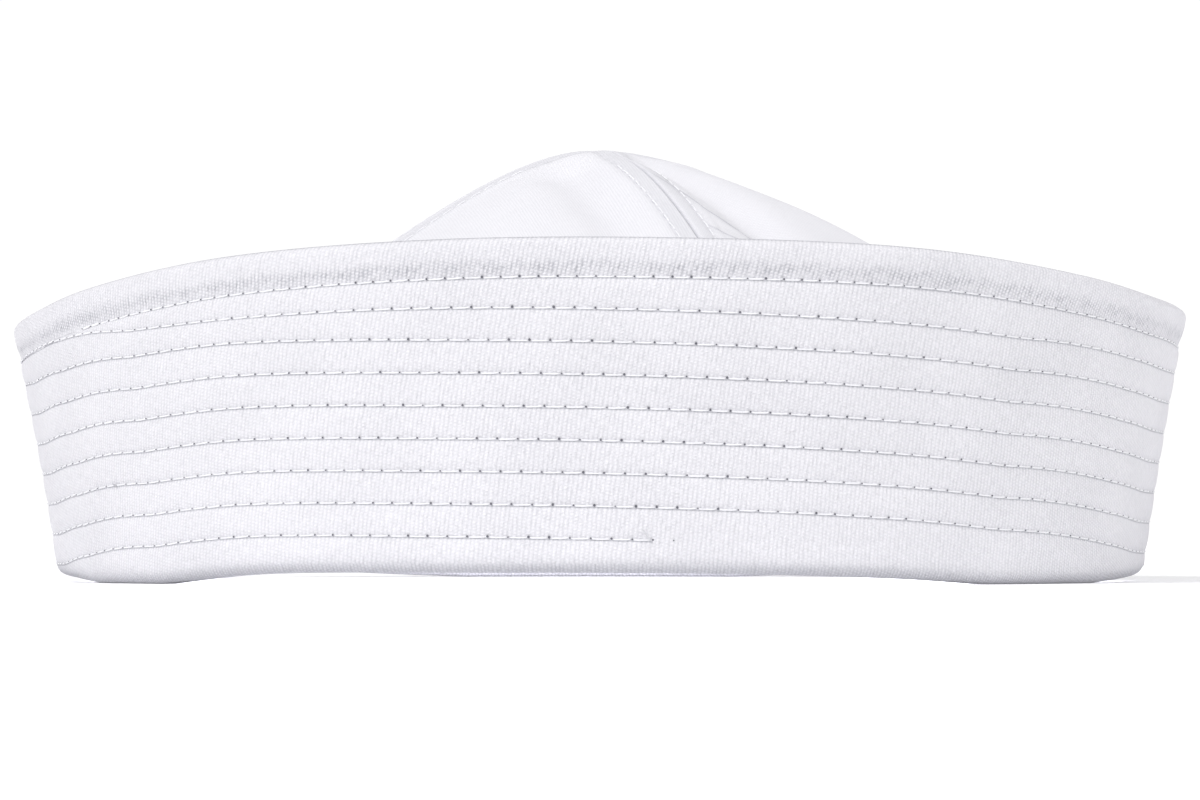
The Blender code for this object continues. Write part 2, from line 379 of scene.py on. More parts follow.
def face_up(mesh: bpy.types.Mesh) -> None:
    """Turn a closed mesh's faces outwards if they point inwards."""
    mesh.calc_loop_triangles()
    corners = np.empty(len(mesh.loop_triangles) * 3, dtype=np.int32)
    mesh.loop_triangles.foreach_get("vertices", corners)
    spots = np.empty(len(mesh.vertices) * 3)
    mesh.vertices.foreach_get("co", spots)
    a, b, c = spots.reshape(-1, 3)[corners.reshape(-1, 3)].transpose(1, 0, 2)
    if np.einsum("ij,ij->i", a, np.cross(b, c)).sum() < 0.0:
        mesh.flip_normals()


def stand(name: str, data: bpy.types.ID) -> bpy.types.Object:
    """Make an object from its data and put it in the scene."""
    made = bpy.data.objects.new(name, data)
    bpy.context.scene.collection.objects.link(made)
    return made


class NodeSketch:
    """Short calls to draw a node tree."""

    def __init__(self, tree: bpy.types.NodeTree) -> None:
        """Start on an emptied tree."""
        self.tree = tree
        tree.nodes.clear()

    @classmethod
    def material(cls, name: str) -> tuple[bpy.types.Material, "NodeSketch"]:
        """Return a new, empty material and the sketch of its tree."""
        made = bpy.data.materials.new(name)
        made.use_nodes = True
        return made, cls(made.node_tree)

    def feed(self, socket: Socket, value: object) -> None:
        """Link a socket to another one, or set its own value."""
        if isinstance(value, bpy.types.NodeSocket):
            self.tree.links.new(value, socket)
        else:
            socket.default_value = value

    def add(
        self, kind: str, inputs: dict[str | int, object] | None = None, **settings: object
    ) -> bpy.types.Node:
        """Add a node.

        Args:
            kind: The node's type.
            inputs: What goes into its sockets, by name or number.
            **settings: The node's own options.

        Returns:
            The node.
        """
        node = self.tree.nodes.new(kind)
        for name, value in settings.items():
            setattr(node, name, value)
        for key, value in (inputs or {}).items():
            self.feed(node.inputs[key], value)
        return node

    def math(self, operation: str, *values: float | Socket) -> Socket:
        """Add a Math node and return its result."""
        return self.add("ShaderNodeMath", dict(enumerate(values)), operation=operation).outputs[0]

    def bell(self, value: Socket, width: float) -> Socket:
        """Return a bell curve of a value, 1 at zero."""
        scaled = self.math("DIVIDE", value, width)
        return self.math("EXPONENT", self.math("MULTIPLY", self.math("MULTIPLY", scaled, scaled), -1.0))

    def grain(self, scale: float) -> Socket:
        """Return fine noise over the piece's own space, about 0.5."""
        spot = self.add("ShaderNodeTexCoord").outputs["Object"]
        return self.add("ShaderNodeTexNoise", {"Vector": spot, "Scale": scale, "Detail": 2.0}).outputs[0]

    def map_parts(self, name: str) -> tuple[Socket, Socket]:
        """Return the two parts of a UV map."""
        spot = self.add("ShaderNodeUVMap", uv_map=name).outputs[0]
        split = self.add("ShaderNodeSeparateXYZ", {0: spot})
        return split.outputs[0], split.outputs[1]

    def finish(self, **inputs: object) -> None:
        """End a material with a shader, whose inputs are named with underscores for spaces."""
        spelled = {key.replace("_", " "): value for key, value in inputs.items()}
        shader = self.add("ShaderNodeBsdfPrincipled", spelled)
        self.add("ShaderNodeOutputMaterial", {"Surface": shader.outputs[0]})

    def stored(self, name: str, kind: str) -> Socket:
        """Return a named attribute of the geometry."""
        return self.add("GeometryNodeInputNamedAttribute", {"Name": name}, data_type=kind).outputs[0]

    def wave(self, turns: Socket | float) -> Socket:
        """Return a cosine between 0 and 1 of a number of whole turns."""
        cosine = self.math("COSINE", self.math("MULTIPLY", turns, 2.0 * math.pi))
        return self.math("MULTIPLY_ADD", cosine, 0.5, 0.5)

    def noise(self, u: Socket, v: Socket, size: tuple[float, float], detail: float = 2.0) -> Socket:
        """Return noise about 0.5 over a flat map, stretched to a grain of the given width and height."""
        spot = self.add(
            "ShaderNodeCombineXYZ", {0: self.math("DIVIDE", u, size[0]), 1: self.math("DIVIDE", v, size[1])}
        ).outputs[0]
        return self.add("ShaderNodeTexNoise", {"Vector": spot, "Scale": 1.0, "Detail": detail}).outputs[0]

    def blend(self, share: Socket, low: tuple[float, ...], high: tuple[float, ...]) -> Socket:
        """Return a colour between two colours."""
        node = self.add("ShaderNodeMix", data_type="RGBA")
        self.feed(node.inputs[0], share)
        node.inputs[6].default_value = (*low, 1.0)
        node.inputs[7].default_value = (*high, 1.0)
        return node.outputs[2]


@dataclass(frozen=True)
class Twill:
    """White cotton twill: diagonal ribs of yarn with small floats, uneven, with painted shade in the valleys
    between them. Its map is in millimetres.
    """

    name: str
    bright: tuple[float, float, float]
    shaded: tuple[float, float, float]
    rib_pitch: float
    rib_height: float = 0.10
    float_length: float = 0.55
    float_depth: float = 0.60
    wander: float = 0.5
    kink: float = 0.35
    yarn_unevenness: float = 1.3
    fuzz: float = 1.1
    # how much the weave's valleys are painted darker as shade, along with the yarn's random tone
    weave_shade_and_tone: float = 0.38
    roughness: float = 0.92
    sheen: float = 0.08
    gloss: float = 0.15
    cloudiness: float = 0.30
    rib_sharpness: float = 0.6
    float_step: float = 0.38

    def extra_relief(
        self, sketch: NodeSketch, u: Socket, v: Socket, woven: Socket
    ) -> tuple[Socket | float, Socket | float]:
        """Return the height, in millimetres, and the painted shade that the sewing adds. Plain cloth has
        none.
        """
        return 0.0, 0.0

    def make(self) -> bpy.types.Material:
        """Build the material.

        Returns:
            The material.
        """
        material, sketch = NodeSketch.material(self.name)
        u, v = sketch.map_parts("cloth")
        drift = sketch.math("SUBTRACT", sketch.noise(u, v, (5.0, 14.0)), 0.5)
        kink = sketch.math("SUBTRACT", sketch.noise(u, v, (0.9, 1.6), 1.0), 0.5)
        ribs = sketch.math("MULTIPLY_ADD", drift, self.wander, sketch.math("DIVIDE", u, self.rib_pitch))
        ribs = sketch.math("MULTIPLY_ADD", kink, self.kink, ribs)
        rib = sketch.math("POWER", sketch.wave(ribs), self.rib_sharpness)
        rib_number = sketch.math("FLOOR", sketch.math("ADD", ribs, 0.5))
        step = sketch.math("MULTIPLY", rib_number, self.float_step)
        floats = sketch.wave(sketch.math("ADD", sketch.math("DIVIDE", v, self.float_length), step))
        yarn = sketch.math("SUBTRACT", sketch.noise(u, v, (self.rib_pitch * 0.8, 1.3), 2.0), 0.5)
        fibre = sketch.math("SUBTRACT", sketch.noise(u, v, (0.17, 0.24), 2.0), 0.5)
        lying = sketch.math("MULTIPLY_ADD", floats, self.float_depth, 1.0 - self.float_depth)
        woven = sketch.math("MULTIPLY", rib, lying)
        woven = sketch.math("MULTIPLY_ADD", yarn, self.yarn_unevenness, woven)
        woven = sketch.math("MULTIPLY_ADD", fibre, self.fuzz, woven)
        sewn_height, sewn_shade = self.extra_relief(sketch, u, v, woven)
        height = sketch.math("MULTIPLY_ADD", woven, self.rib_height, sewn_height)
        cloudy = sketch.math("SUBTRACT", sketch.noise(u, v, (22.0, 16.0), 3.0), 0.5)
        # painted shade and random tone: the colour darkens in the weave's valleys between ribs and floats,
        # and varies with the yarn
        light = sketch.math("MULTIPLY_ADD", woven, self.weave_shade_and_tone, 1.0 - self.weave_shade_and_tone)
        light = sketch.math("MULTIPLY_ADD", cloudy, self.cloudiness, light)
        # the sewing's painted shade darkens the colour further
        light = sketch.math("SUBTRACT", light, sewn_shade)
        clamp = sketch.add("ShaderNodeClamp", {"Value": light}).outputs[0]
        colour = sketch.blend(clamp, self.shaded, self.bright)
        bump = sketch.add("ShaderNodeBump", {"Height": height, "Distance": MM, "Strength": 1.0}).outputs[0]
        sketch.finish(
            Base_Color=colour, Normal=bump, Roughness=self.roughness, Sheen_Weight=self.sheen,
            Specular_IOR_Level=self.gloss,
        )
        return material


@dataclass(frozen=True)
class BrimTwill(Twill):
    """The brim's twill, drawn in along the rows of stitches and puckered in the groove under the hem, with
    painted shade in the stitch creases, in the groove, under the threads, along the rim's edge and towards
    the fold.
    """

    row_gap: float = 5.0
    crease_width: float = 0.42
    crease_depth: float = 0.10
    groove_line: float = -5.5
    groove_width: float = 1.25
    shadow_line: float = 0.20
    shadow_width: float = 0.15
    edge_line: float = -0.15
    edge_width: float = 0.40
    fold_reach: float = 1.7
    fold_shade: float = 0.70
    crease_shade: float = 0.12
    groove_shade: float = 0.8
    shadow_shade: float = 0.55
    edge_shade: float = 0.9
    drawn_reach: float = 1.5
    pucker_slant: float = -0.45
    pucker_height: float = 0.34
    groove_pucker: float = 0.9
    row_pucker: float = 0.22
    last_stitch: float = 1500.0

    def extra_relief(self, sketch: NodeSketch, u: Socket, v: Socket, woven: Socket) -> tuple[Socket, Socket]:
        """Return the crease along the stitches and the puckers, and the painted shade of the sewing, the
        groove, the rim's edge and the fold.

        Args:
            sketch: The tree to draw in.
            u: Millimetres across the ribs.
            v: Millimetres up the wall, 0 at the rim.
            woven: The weave's relief.

        Returns:
            The height in millimetres, and the painted shade.
        """
        count, turn = sketch.map_parts("sewing")
        nearest = sketch.math("FLOOR", sketch.math("ADD", turn, 0.5))
        away = sketch.math("MULTIPLY", sketch.math("SUBTRACT", turn, nearest), self.row_gap)
        begun = sketch.math("GREATER_THAN", count, 0.0)
        running = sketch.math("LESS_THAN", count, self.last_stitch)
        sewn = sketch.math("MULTIPLY", begun, running)
        pull = sketch.math("MULTIPLY_ADD", sketch.wave(count), 0.5, 0.5)
        crease = sketch.math("MULTIPLY", sketch.bell(away, self.crease_width), sewn)
        crease = sketch.math("MULTIPLY", crease, pull)
        slanted = sketch.math("MULTIPLY_ADD", v, self.pucker_slant, u)
        pucker = sketch.math("SUBTRACT", sketch.noise(slanted, v, (0.9, 2.4), 2.0), 0.5)
        patch = sketch.math("SUBTRACT", sketch.noise(u, v, (4.0, 2.5), 2.0), 0.5)
        drawn = sketch.math("MULTIPLY", sketch.bell(away, self.drawn_reach), sewn)
        groove = sketch.bell(sketch.math("SUBTRACT", v, self.groove_line), self.groove_width)
        rough = sketch.math("MULTIPLY", drawn, self.row_pucker)
        rough = sketch.math("MULTIPLY_ADD", groove, self.groove_pucker, rough)
        lumps = sketch.math("MULTIPLY", pucker, sketch.math("MULTIPLY", rough, self.pucker_height))
        height = sketch.math("SUBTRACT", lumps, sketch.math("MULTIPLY", crease, self.crease_depth))
        # painted shade: the groove under the hem darkens between its puckers and in the weave's valleys
        groove_shadow = sketch.math("MULTIPLY_ADD", pucker, -0.9, sketch.math("ADD", patch, 0.42))
        groove_shadow = sketch.math("MULTIPLY", groove, sketch.math("MAXIMUM", groove_shadow, 0.0))
        valley = sketch.math("MAXIMUM", sketch.math("MULTIPLY_ADD", woven, -1.3, 1.25), 0.0)
        groove_shadow = sketch.math("MULTIPLY", groove_shadow, valley)
        under = sketch.bell(sketch.math("SUBTRACT", away, self.shadow_line), self.shadow_width)
        under = sketch.math("MULTIPLY", under, sewn)
        # painted shade: a thin dark line along the rim's rounded edge
        edge = sketch.bell(sketch.math("SUBTRACT", v, self.edge_line), self.edge_width)
        shade = sketch.math("MULTIPLY", groove_shadow, self.groove_shade)
        # painted shade: the cloth darkens along the creases of the stitch rows
        shade = sketch.math("MULTIPLY_ADD", crease, self.crease_shade, shade)
        shade = sketch.math("MULTIPLY_ADD", under, self.shadow_shade, shade)
        shade = sketch.math("MULTIPLY_ADD", edge, self.edge_shade, shade)
        # painted shade: the cloth darkens towards the fold at its bottom edge
        above = sketch.map_parts("fold")[0]
        shade = sketch.math("MULTIPLY_ADD", sketch.bell(above, self.fold_reach), self.fold_shade, shade)
        return height, shade


@dataclass(frozen=True)
class CrownTwill(Twill):
    """The crown's single twill, drawn in along its topstitches, with painted shade in the joint of a seam,
    along its topstitches, over the doubled allowances and beside its sharp folds.
    """

    topstitch_away: float = 3.0
    joint_width: float = 0.20
    joint_shade: float = 0.9
    crease_width: float = 0.45
    crease_depth: float = 0.14
    crease_shade: float = 0.20
    pucker_height: float = 0.22
    doubled_shade: float = 0.30
    fold_step: float = 0.45
    gap_shade: float = 1.3
    overhang_shadow_strength: float = 0.42

    def extra_relief(self, sketch: NodeSketch, u: Socket, v: Socket, woven: Socket) -> tuple[Socket, Socket]:
        """Return the joint of the seams and the creases along the topstitches, and their painted shade.

        Args:
            sketch: The tree to draw in.
            u: Millimetres across the ribs.
            v: Millimetres along the ribs.
            woven: The weave's relief, not used here.

        Returns:
            The height in millimetres, and the painted shade.
        """
        count, away = sketch.map_parts("sewing")
        # painted shade: dark in the seam's joint, where the gores meet in a groove
        joint = sketch.bell(away, self.joint_width)
        row = sketch.bell(sketch.math("SUBTRACT", away, self.topstitch_away), self.crease_width)
        pull = sketch.math("MULTIPLY_ADD", sketch.wave(count), 0.6, 0.4)
        crease = sketch.math("MULTIPLY", row, pull)
        pucker = sketch.math("SUBTRACT", sketch.noise(u, v, (2.2, 2.2), 2.0), 0.5)
        near = sketch.bell(sketch.math("SUBTRACT", away, 2.4), 2.6)
        # painted shade: a darker strip over the doubled allowances, where less light comes through the two
        # plies
        doubled = sketch.bell(sketch.math("SUBTRACT", away, 2.0), 1.7)
        side, sharp = sketch.map_parts("folds")
        over = sketch.add(
            "ShaderNodeMapRange", {"Value": side, "From Min": -0.30, "From Max": 0.20},
            interpolation_type="SMOOTHSTEP",
        ).outputs[0]
        # painted shadow: a dark line in the gap under a sharp fold's overhanging side
        gap = sketch.math("MULTIPLY", sketch.bell(sketch.math("ADD", side, 0.15), 0.30), sharp)
        # painted shadow: soft shade on the low side beside a sharp fold
        overhang_shadow = sketch.math("MULTIPLY", sketch.bell(sketch.math("ADD", side, 1.4), 1.3), sharp)
        lumps = sketch.math("MULTIPLY", pucker, sketch.math("MULTIPLY", near, self.pucker_height))
        height = sketch.math("SUBTRACT", lumps, sketch.math("MULTIPLY", crease, self.crease_depth))
        height = sketch.math("MULTIPLY_ADD", sketch.math("MULTIPLY", over, sharp), self.fold_step, height)
        shade = sketch.math("MULTIPLY", joint, self.joint_shade)
        # painted shade: darker along the topstitch creases
        shade = sketch.math("MULTIPLY_ADD", crease, self.crease_shade, shade)
        shade = sketch.math("MULTIPLY_ADD", doubled, self.doubled_shade, shade)
        shade = sketch.math("MULTIPLY_ADD", overhang_shadow, self.overhang_shadow_strength, shade)
        shade = sketch.math("MULTIPLY_ADD", gap, self.gap_shade, shade)
        return height, shade


@dataclass(frozen=True)
class Thread:
    """Spun sewing thread, slightly glossier than the cloth."""

    name: str = "sewing_thread"
    bright: tuple[float, float, float] = (0.93, 0.93, 0.95)
    shaded: tuple[float, float, float] = (0.80, 0.80, 0.84)
    fibre: float = 6000.0
    roughness: float = 0.65

    def make(self) -> bpy.types.Material:
        """Build the material.

        Returns:
            The material.
        """
        material, sketch = NodeSketch.material(self.name)
        fuzz = sketch.grain(self.fibre)
        colour = sketch.blend(fuzz, self.shaded, self.bright)
        relief = {"Height": fuzz, "Distance": 0.05 * MM, "Strength": 1.0}
        bump = sketch.add("ShaderNodeBump", relief).outputs[0]
        sketch.finish(Base_Color=colour, Normal=bump, Roughness=self.roughness, Sheen_Weight=0.1)
        return material


@dataclass(frozen=True)
class NeedleHole:
    """The painted shadow inside a needle hole: dark, with a few fibres across it."""

    name: str = "needle_hole_shadow"
    dark: tuple[float, float, float] = (0.11, 0.11, 0.13)
    fibres: tuple[float, float, float] = (0.36, 0.36, 0.40)
    grain: float = 9000.0

    def make(self) -> bpy.types.Material:
        """Build the material.

        Returns:
            The material.
        """
        material, sketch = NodeSketch.material(self.name)
        colour = sketch.blend(sketch.math("POWER", sketch.grain(self.grain), 2.5), self.dark, self.fibres)
        sketch.finish(Base_Color=colour, Roughness=1.0, Specular_IOR_Level=0.0)
        return material


@dataclass(frozen=True)
class Paper:
    """The studio's matt white paper."""

    name: str = "studio_paper"
    bright: tuple[float, float, float] = (0.96, 0.96, 0.965)
    shaded: tuple[float, float, float] = (0.94, 0.94, 0.95)
    glow: float = 0.12

    def make(self) -> bpy.types.Material:
        """Build the material.

        Returns:
            The material.
        """
        material, sketch = NodeSketch.material(self.name)
        colour = sketch.blend(sketch.grain(3.0), self.shaded, self.bright)
        sketch.finish(
            Base_Color=colour, Roughness=0.95, Specular_IOR_Level=0.0,
            Emission_Color=(1.0, 1.0, 1.0, 1.0), Emission_Strength=self.glow,
        )
        return material


@dataclass
class Brim:
    """The turned-up brim: one closed ring of doubled twill, from its leg round the fold to the hem."""

    form: CapForm
    spiral: StitchSpiral
    columns: int = 500
    outer_rows: int = 126
    inner_rows: int = 30
    hem_height: float = 4.5 * MM
    hem_proud: float = 0.16 * MM
    groove_line: float = 5.6 * MM
    groove_width: float = 1.1 * MM
    groove_depth: float = 0.27 * MM
    crease_width: float = 0.62 * MM
    crease_depth: float = 0.16 * MM
    pillow: float = 0.07 * MM
    row_gap: float = 5.0 * MM
    sway: float = 0.10 * MM
    tack_rise: float = 0.16 * MM
    slant_start: float = 0.085
    slant_growth: float = 0.070

    def relief(self, azimuth: Array, height: Array) -> Array:
        """Return how far the outer face stands proud of the plain wall.

        Args:
            azimuth: Azimuths of the columns, between -180 and 180.
            height: Heights, one row for each height and one column for each azimuth.

        Returns:
            The distances, in the shape of the heights.
        """
        low = self.form.fold_height(azimuth)
        high = self.form.rim_height(azimuth)
        below = high - height
        share = (height - low) / (high - low)
        turn = self.spiral.turn_at(azimuth, share)
        nearest = np.round(turn)
        away = (turn - nearest) * self.row_gap
        count = self.spiral.stitch_count(azimuth + 360.0 * nearest)
        sewn = (count > 0.0) & (count < sum(self.spiral.counts))
        hem = self.hem_proud * np.sin(np.pi * np.clip(below / self.hem_height, 0.0, 1.0))
        groove = -self.groove_depth * bell((below - self.groove_line) / self.groove_width)
        crease = -self.crease_depth * bell(away / self.crease_width) * sewn
        between = self.pillow * np.sin(np.pi * (turn - np.floor(turn))) ** 2 * (turn > 0.0) * (turn < 8.6)
        turned = np.radians(azimuth)
        ripple = 0.7 * np.sin(23.0 * turned - 90.0 * height + 1.3)
        sway = self.sway * (np.sin(9.0 * turned + 40.0 * height) + ripple)
        return hem + groove + crease + between + sway * ease(below / (9.0 * MM)) * ease(share / 0.15)

    def sewing_map(self, azimuth: Array, height: Array) -> Array:
        """Return the stitch count and the turn at points of the outer face, as a UV map."""
        low = self.form.fold_height(azimuth)
        share = (height - low) / (self.form.rim_height(azimuth) - low)
        turn = self.spiral.turn_at(azimuth, share)
        count = self.spiral.stitch_count(azimuth + 360.0 * np.round(turn))
        return np.stack((count, turn), axis=-1)

    def outer_face(self, azimuth: Array) -> tuple[Array, Array]:
        """Return the radii and the heights of the outer face, from above the fold to below the rim."""
        form = self.form
        low = form.fold_height(azimuth)
        high = form.rim_height(azimuth)
        step = np.linspace(0.0, 1.0, self.outer_rows)[:, None]
        height = low + form.fold_corner + step * (high - 0.5 * form.brim_wall - low - form.fold_corner)
        radius = form.wall_radius((height - low) / (high - low)) + self.relief(azimuth, height)
        return radius, height

    def section(self, azimuth: Array) -> tuple[Array, Array]:
        """Return the radii and the heights of the whole section, one column for each azimuth."""
        form = self.form
        low = form.fold_height(azimuth)
        high = form.rim_height(azimuth)
        floor = low + form.fold_wall
        outer_radius, outer_height = self.outer_face(azimuth)
        half = 0.5 * form.brim_wall
        top = high - half
        arc = np.radians(np.linspace(22.5, 157.5, 7))[:, None]
        rim_middle = outer_radius[-1] - half
        rim_radius = rim_middle + half * np.cos(arc)
        rim_height = top + half * np.sin(arc)
        step = np.linspace(0.0, 1.0, self.inner_rows)[:, None]
        inner_height = top + step * (floor + 0.6 * MM - top)
        below = high - inner_height
        inner_hem = 0.5 * self.hem_proud * np.sin(np.pi * np.clip(below / self.hem_height, 0.0, 1.0))
        inner_radius = form.wall_radius((inner_height - low) / (high - low)) - form.brim_wall - inner_hem
        leg_outer = form.leg_radius
        leg_inner = leg_outer - form.leg_wall
        leg_top = low + form.leg_height
        corner = form.fold_corner
        trough = form.base_radius - form.brim_wall
        rest = [(trough, floor)]
        rest += [(leg_outer + share * (trough - leg_outer), floor) for share in (0.6, 0.3)]
        rest += [(leg_outer, floor + share * (leg_top - floor)) for share in (0.0, 0.3, 0.6, 0.9)]
        rest += [(leg_outer - 0.5 * form.leg_wall, leg_top + 0.3 * form.leg_wall)]
        rise = leg_top - low - corner
        rest += [(leg_inner, low + corner + share * rise) for share in (0.95, 0.6, 0.3, 0.0)]
        rest += [(leg_inner + 0.35 * corner, low + 0.25 * corner)]
        run = form.base_radius - corner - leg_inner - corner
        rest += [(leg_inner + corner + share * run, low) for share in (0.0, 0.25, 0.5, 0.75, 1.0)]
        rest += [(form.base_radius - 0.62 * corner, low + 0.08 * corner)]
        rest += [(form.base_radius - 0.35 * corner, low + 0.25 * corner)]
        rest += [(form.base_radius - 0.10 * corner, low + 0.60 * corner)]
        flat = np.zeros_like(azimuth)
        rest_radius = np.stack([flat + radius for radius, _ in rest])
        rest_height = np.stack([flat + height for _, height in rest])
        radius = np.concatenate((outer_radius, rim_radius, inner_radius, rest_radius, outer_radius[:1]))
        height = np.concatenate((outer_height, rim_height, inner_height, rest_height, outer_height[:1]))
        return radius, height

    def cloth_map(self, azimuth: Array, radius: Array, height: Array) -> Array:
        """Lay the cloth flat: millimetres across the ribs and along them, measured from the rim."""
        form = self.form
        steps = np.hypot(np.diff(radius, axis=0), np.diff(height, axis=0))
        along = np.concatenate((np.zeros((1, len(azimuth))), np.cumsum(steps, axis=0)))
        rim_row = self.outer_rows + 3
        down = along - along[rim_row]
        tall = form.rim_height(azimuth) - form.fold_height(azimuth)
        cone = math.atan2(form.rim_radius - form.base_radius, form.side_height + 0.7 * form.front_rise)
        slant = form.rim_radius / math.sin(cone) + np.clip(down, -0.06, 0.06)
        turned = np.radians(azimuth) * math.sin(cone)
        across = slant * np.sin(turned)
        share = np.clip(1.0 + down / tall, -0.5, 1.8)
        lean = tall * (self.slant_start * share + self.slant_growth * share**2)
        return np.stack(((across - lean) / MM, down / MM), axis=-1)

    def build(self) -> bpy.types.Object:
        """Build the brim's cloth.

        Returns:
            The finished piece, without its material.
        """
        azimuth = np.linspace(-180.0, 180.0, self.columns + 1)
        radius, height = self.section(azimuth)
        points = place(azimuth, radius, height)
        sewing = self.sewing_map(azimuth, height)
        inner_end = self.outer_rows + 7 + self.inner_rows
        sewing[self.outer_rows:inner_end] = (-5.0, -0.5)
        sewing[inner_end:-1] = (1e5, 9.5)
        above = (height - self.form.fold_height(azimuth)) / MM
        maps = {
            "cloth": self.cloth_map(azimuth, radius, height),
            "sewing": sewing,
            "fold": np.stack((above, np.zeros_like(above)), axis=-1),
        }
        return lattice("brim_cloth", points, maps)

    def bobbin_guides(self) -> list[Guide]:
        """Return the paths of the same stitching on the brim's inner face, where the bobbin thread shows."""
        guides = []
        for first, last, count in self.spiral.stretches:
            lap = np.linspace(first, last, int((last - first) / 0.5))
            radius, height = self.spiral.radius_height(lap)
            inward = place(lap, -1.0, 0.0) + np.array((0.0, 0.0, self.lean))
            guides.append((place(lap, radius - self.form.brim_wall, height), inward, count))
        return guides

    @property
    def lean(self) -> float:
        """How far the wall leans out for each unit of its height."""
        return (self.form.rim_radius - self.form.base_radius) / self.form.side_height

    def stitch_guides(self, back_tacks: int = 0, empty_holes: int = 0) -> list[Guide]:
        """Return the paths of the two stretches of stitching.

        Args:
            back_tacks: Number of stitches that are sewn back over the start.
            empty_holes: Number of needle holes without thread past the end.

        Returns:
            For each path its points, its outward directions and its number of stitches.
        """
        spiral = self.spiral
        step = math.degrees(spiral.later_stitch / self.form.base_radius)
        guides = []
        (start, slow_end, slow_count), (_, end, count_left) = spiral.stretches
        for first, last, count, raised in (
            (start, slow_end, slow_count, 0.0),
            (slow_end, end + empty_holes * step, count_left + empty_holes, 0.0),
            (start - 0.3, start + back_tacks * 0.8 * step, back_tacks, self.tack_rise),
        ):
            if not count:
                continue
            lap = np.linspace(first, last, max(4, int((last - first) / 0.5)))
            radius, height = spiral.radius_height(lap)
            height = height + raised
            wrapped = (lap + 180.0) % 360.0 - 180.0
            some = slice(None, None, 8) if len(lap) > 64 else slice(None)
            proud = np.asarray([
                self.relief(wrapped[index:index + 1], height[index:index + 1, None])[0, 0]
                for index in range(len(lap))[some]
            ])
            radius = radius + np.interp(lap, lap[some], proud)
            outward = place(lap, 1.0, 0.0) + np.array((0.0, 0.0, -self.lean))
            guides.append((place(lap, radius, height), outward, count))
        return guides


@dataclass(frozen=True)
class LooseEnd:
    """A short loose end of the brim's thread. Its bends are millimetres along the row and up from it."""

    name: str
    lap: float
    bends: tuple[tuple[float, float], ...]
    thread: float = 0.26 * MM
    proud: float = 0.40 * MM
    rows: int = 24
    sides: int = 8

    def build(self, brim: Brim) -> bpy.types.Object:
        """Build the thread's end as a closed round tube.

        Args:
            brim: The brim that it lies on.

        Returns:
            The finished piece, without its material.
        """
        knots = np.asarray(self.bends)
        way = np.linspace(0.0, 1.0, len(knots))
        fit = np.polyfit(way, knots, len(knots) - 1)
        along = np.linspace(0.0, 1.0, self.rows)
        across, up = (np.polyval(fit[:, axis], along) * MM for axis in (0, 1))
        radius, height = brim.spiral.radius_height(np.asarray([self.lap]))
        azimuth = self.lap + np.degrees(across / radius)
        lift = self.proud * ease(along / 0.2) * (1.0 + along)
        middle = place(azimuth, radius + up * brim.lean + lift, height + up)
        tangent = np.gradient(middle, axis=0)
        tangent /= np.linalg.norm(tangent, axis=1)[:, None]
        outward = place(azimuth, 1.0, 0.0)
        side = np.cross(tangent, outward)
        side /= np.linalg.norm(side, axis=1)[:, None]
        outward = np.cross(side, tangent)
        turn = np.linspace(0.0, 2.0 * np.pi, self.sides + 1)[None, :, None]
        ring = side[:, None] * np.cos(turn) + outward[:, None] * np.sin(turn)
        return lattice(self.name, middle[:, None] + 0.5 * self.thread * ring, {}, capped=self.sides // 2)


def off_line(x: Array, y: Array, start: Array, run: Array) -> tuple[Array, Array]:
    """Return how far along a stretch in plan, from 0 to 1, places lie, and how far away from it.

    Args:
        x: Places to the right.
        y: Places to the back.
        start: Where the stretch starts.
        run: The way from there to its end.

    Returns:
        The shares and the distances.
    """
    share = ((x - start[0]) * run[0] + (y - start[1]) * run[1]) / (run[0] ** 2 + run[1] ** 2)
    share = np.clip(share, 0.0, 1.0)
    return share, np.hypot(x - start[0] - share * run[0], y - start[1] - share * run[1])


@dataclass(frozen=True)
class Crease:
    """A soft fold in the crown, between two places in plan. Each is an azimuth and a share of the radius."""

    start: tuple[float, float]
    end: tuple[float, float]
    width: float
    depth: float


@dataclass(frozen=True)
class SharpFold:
    """A sharp fold line in the crown. Its places are azimuths, shares of the radius and strengths."""

    places: tuple[tuple[float, float, float], ...]


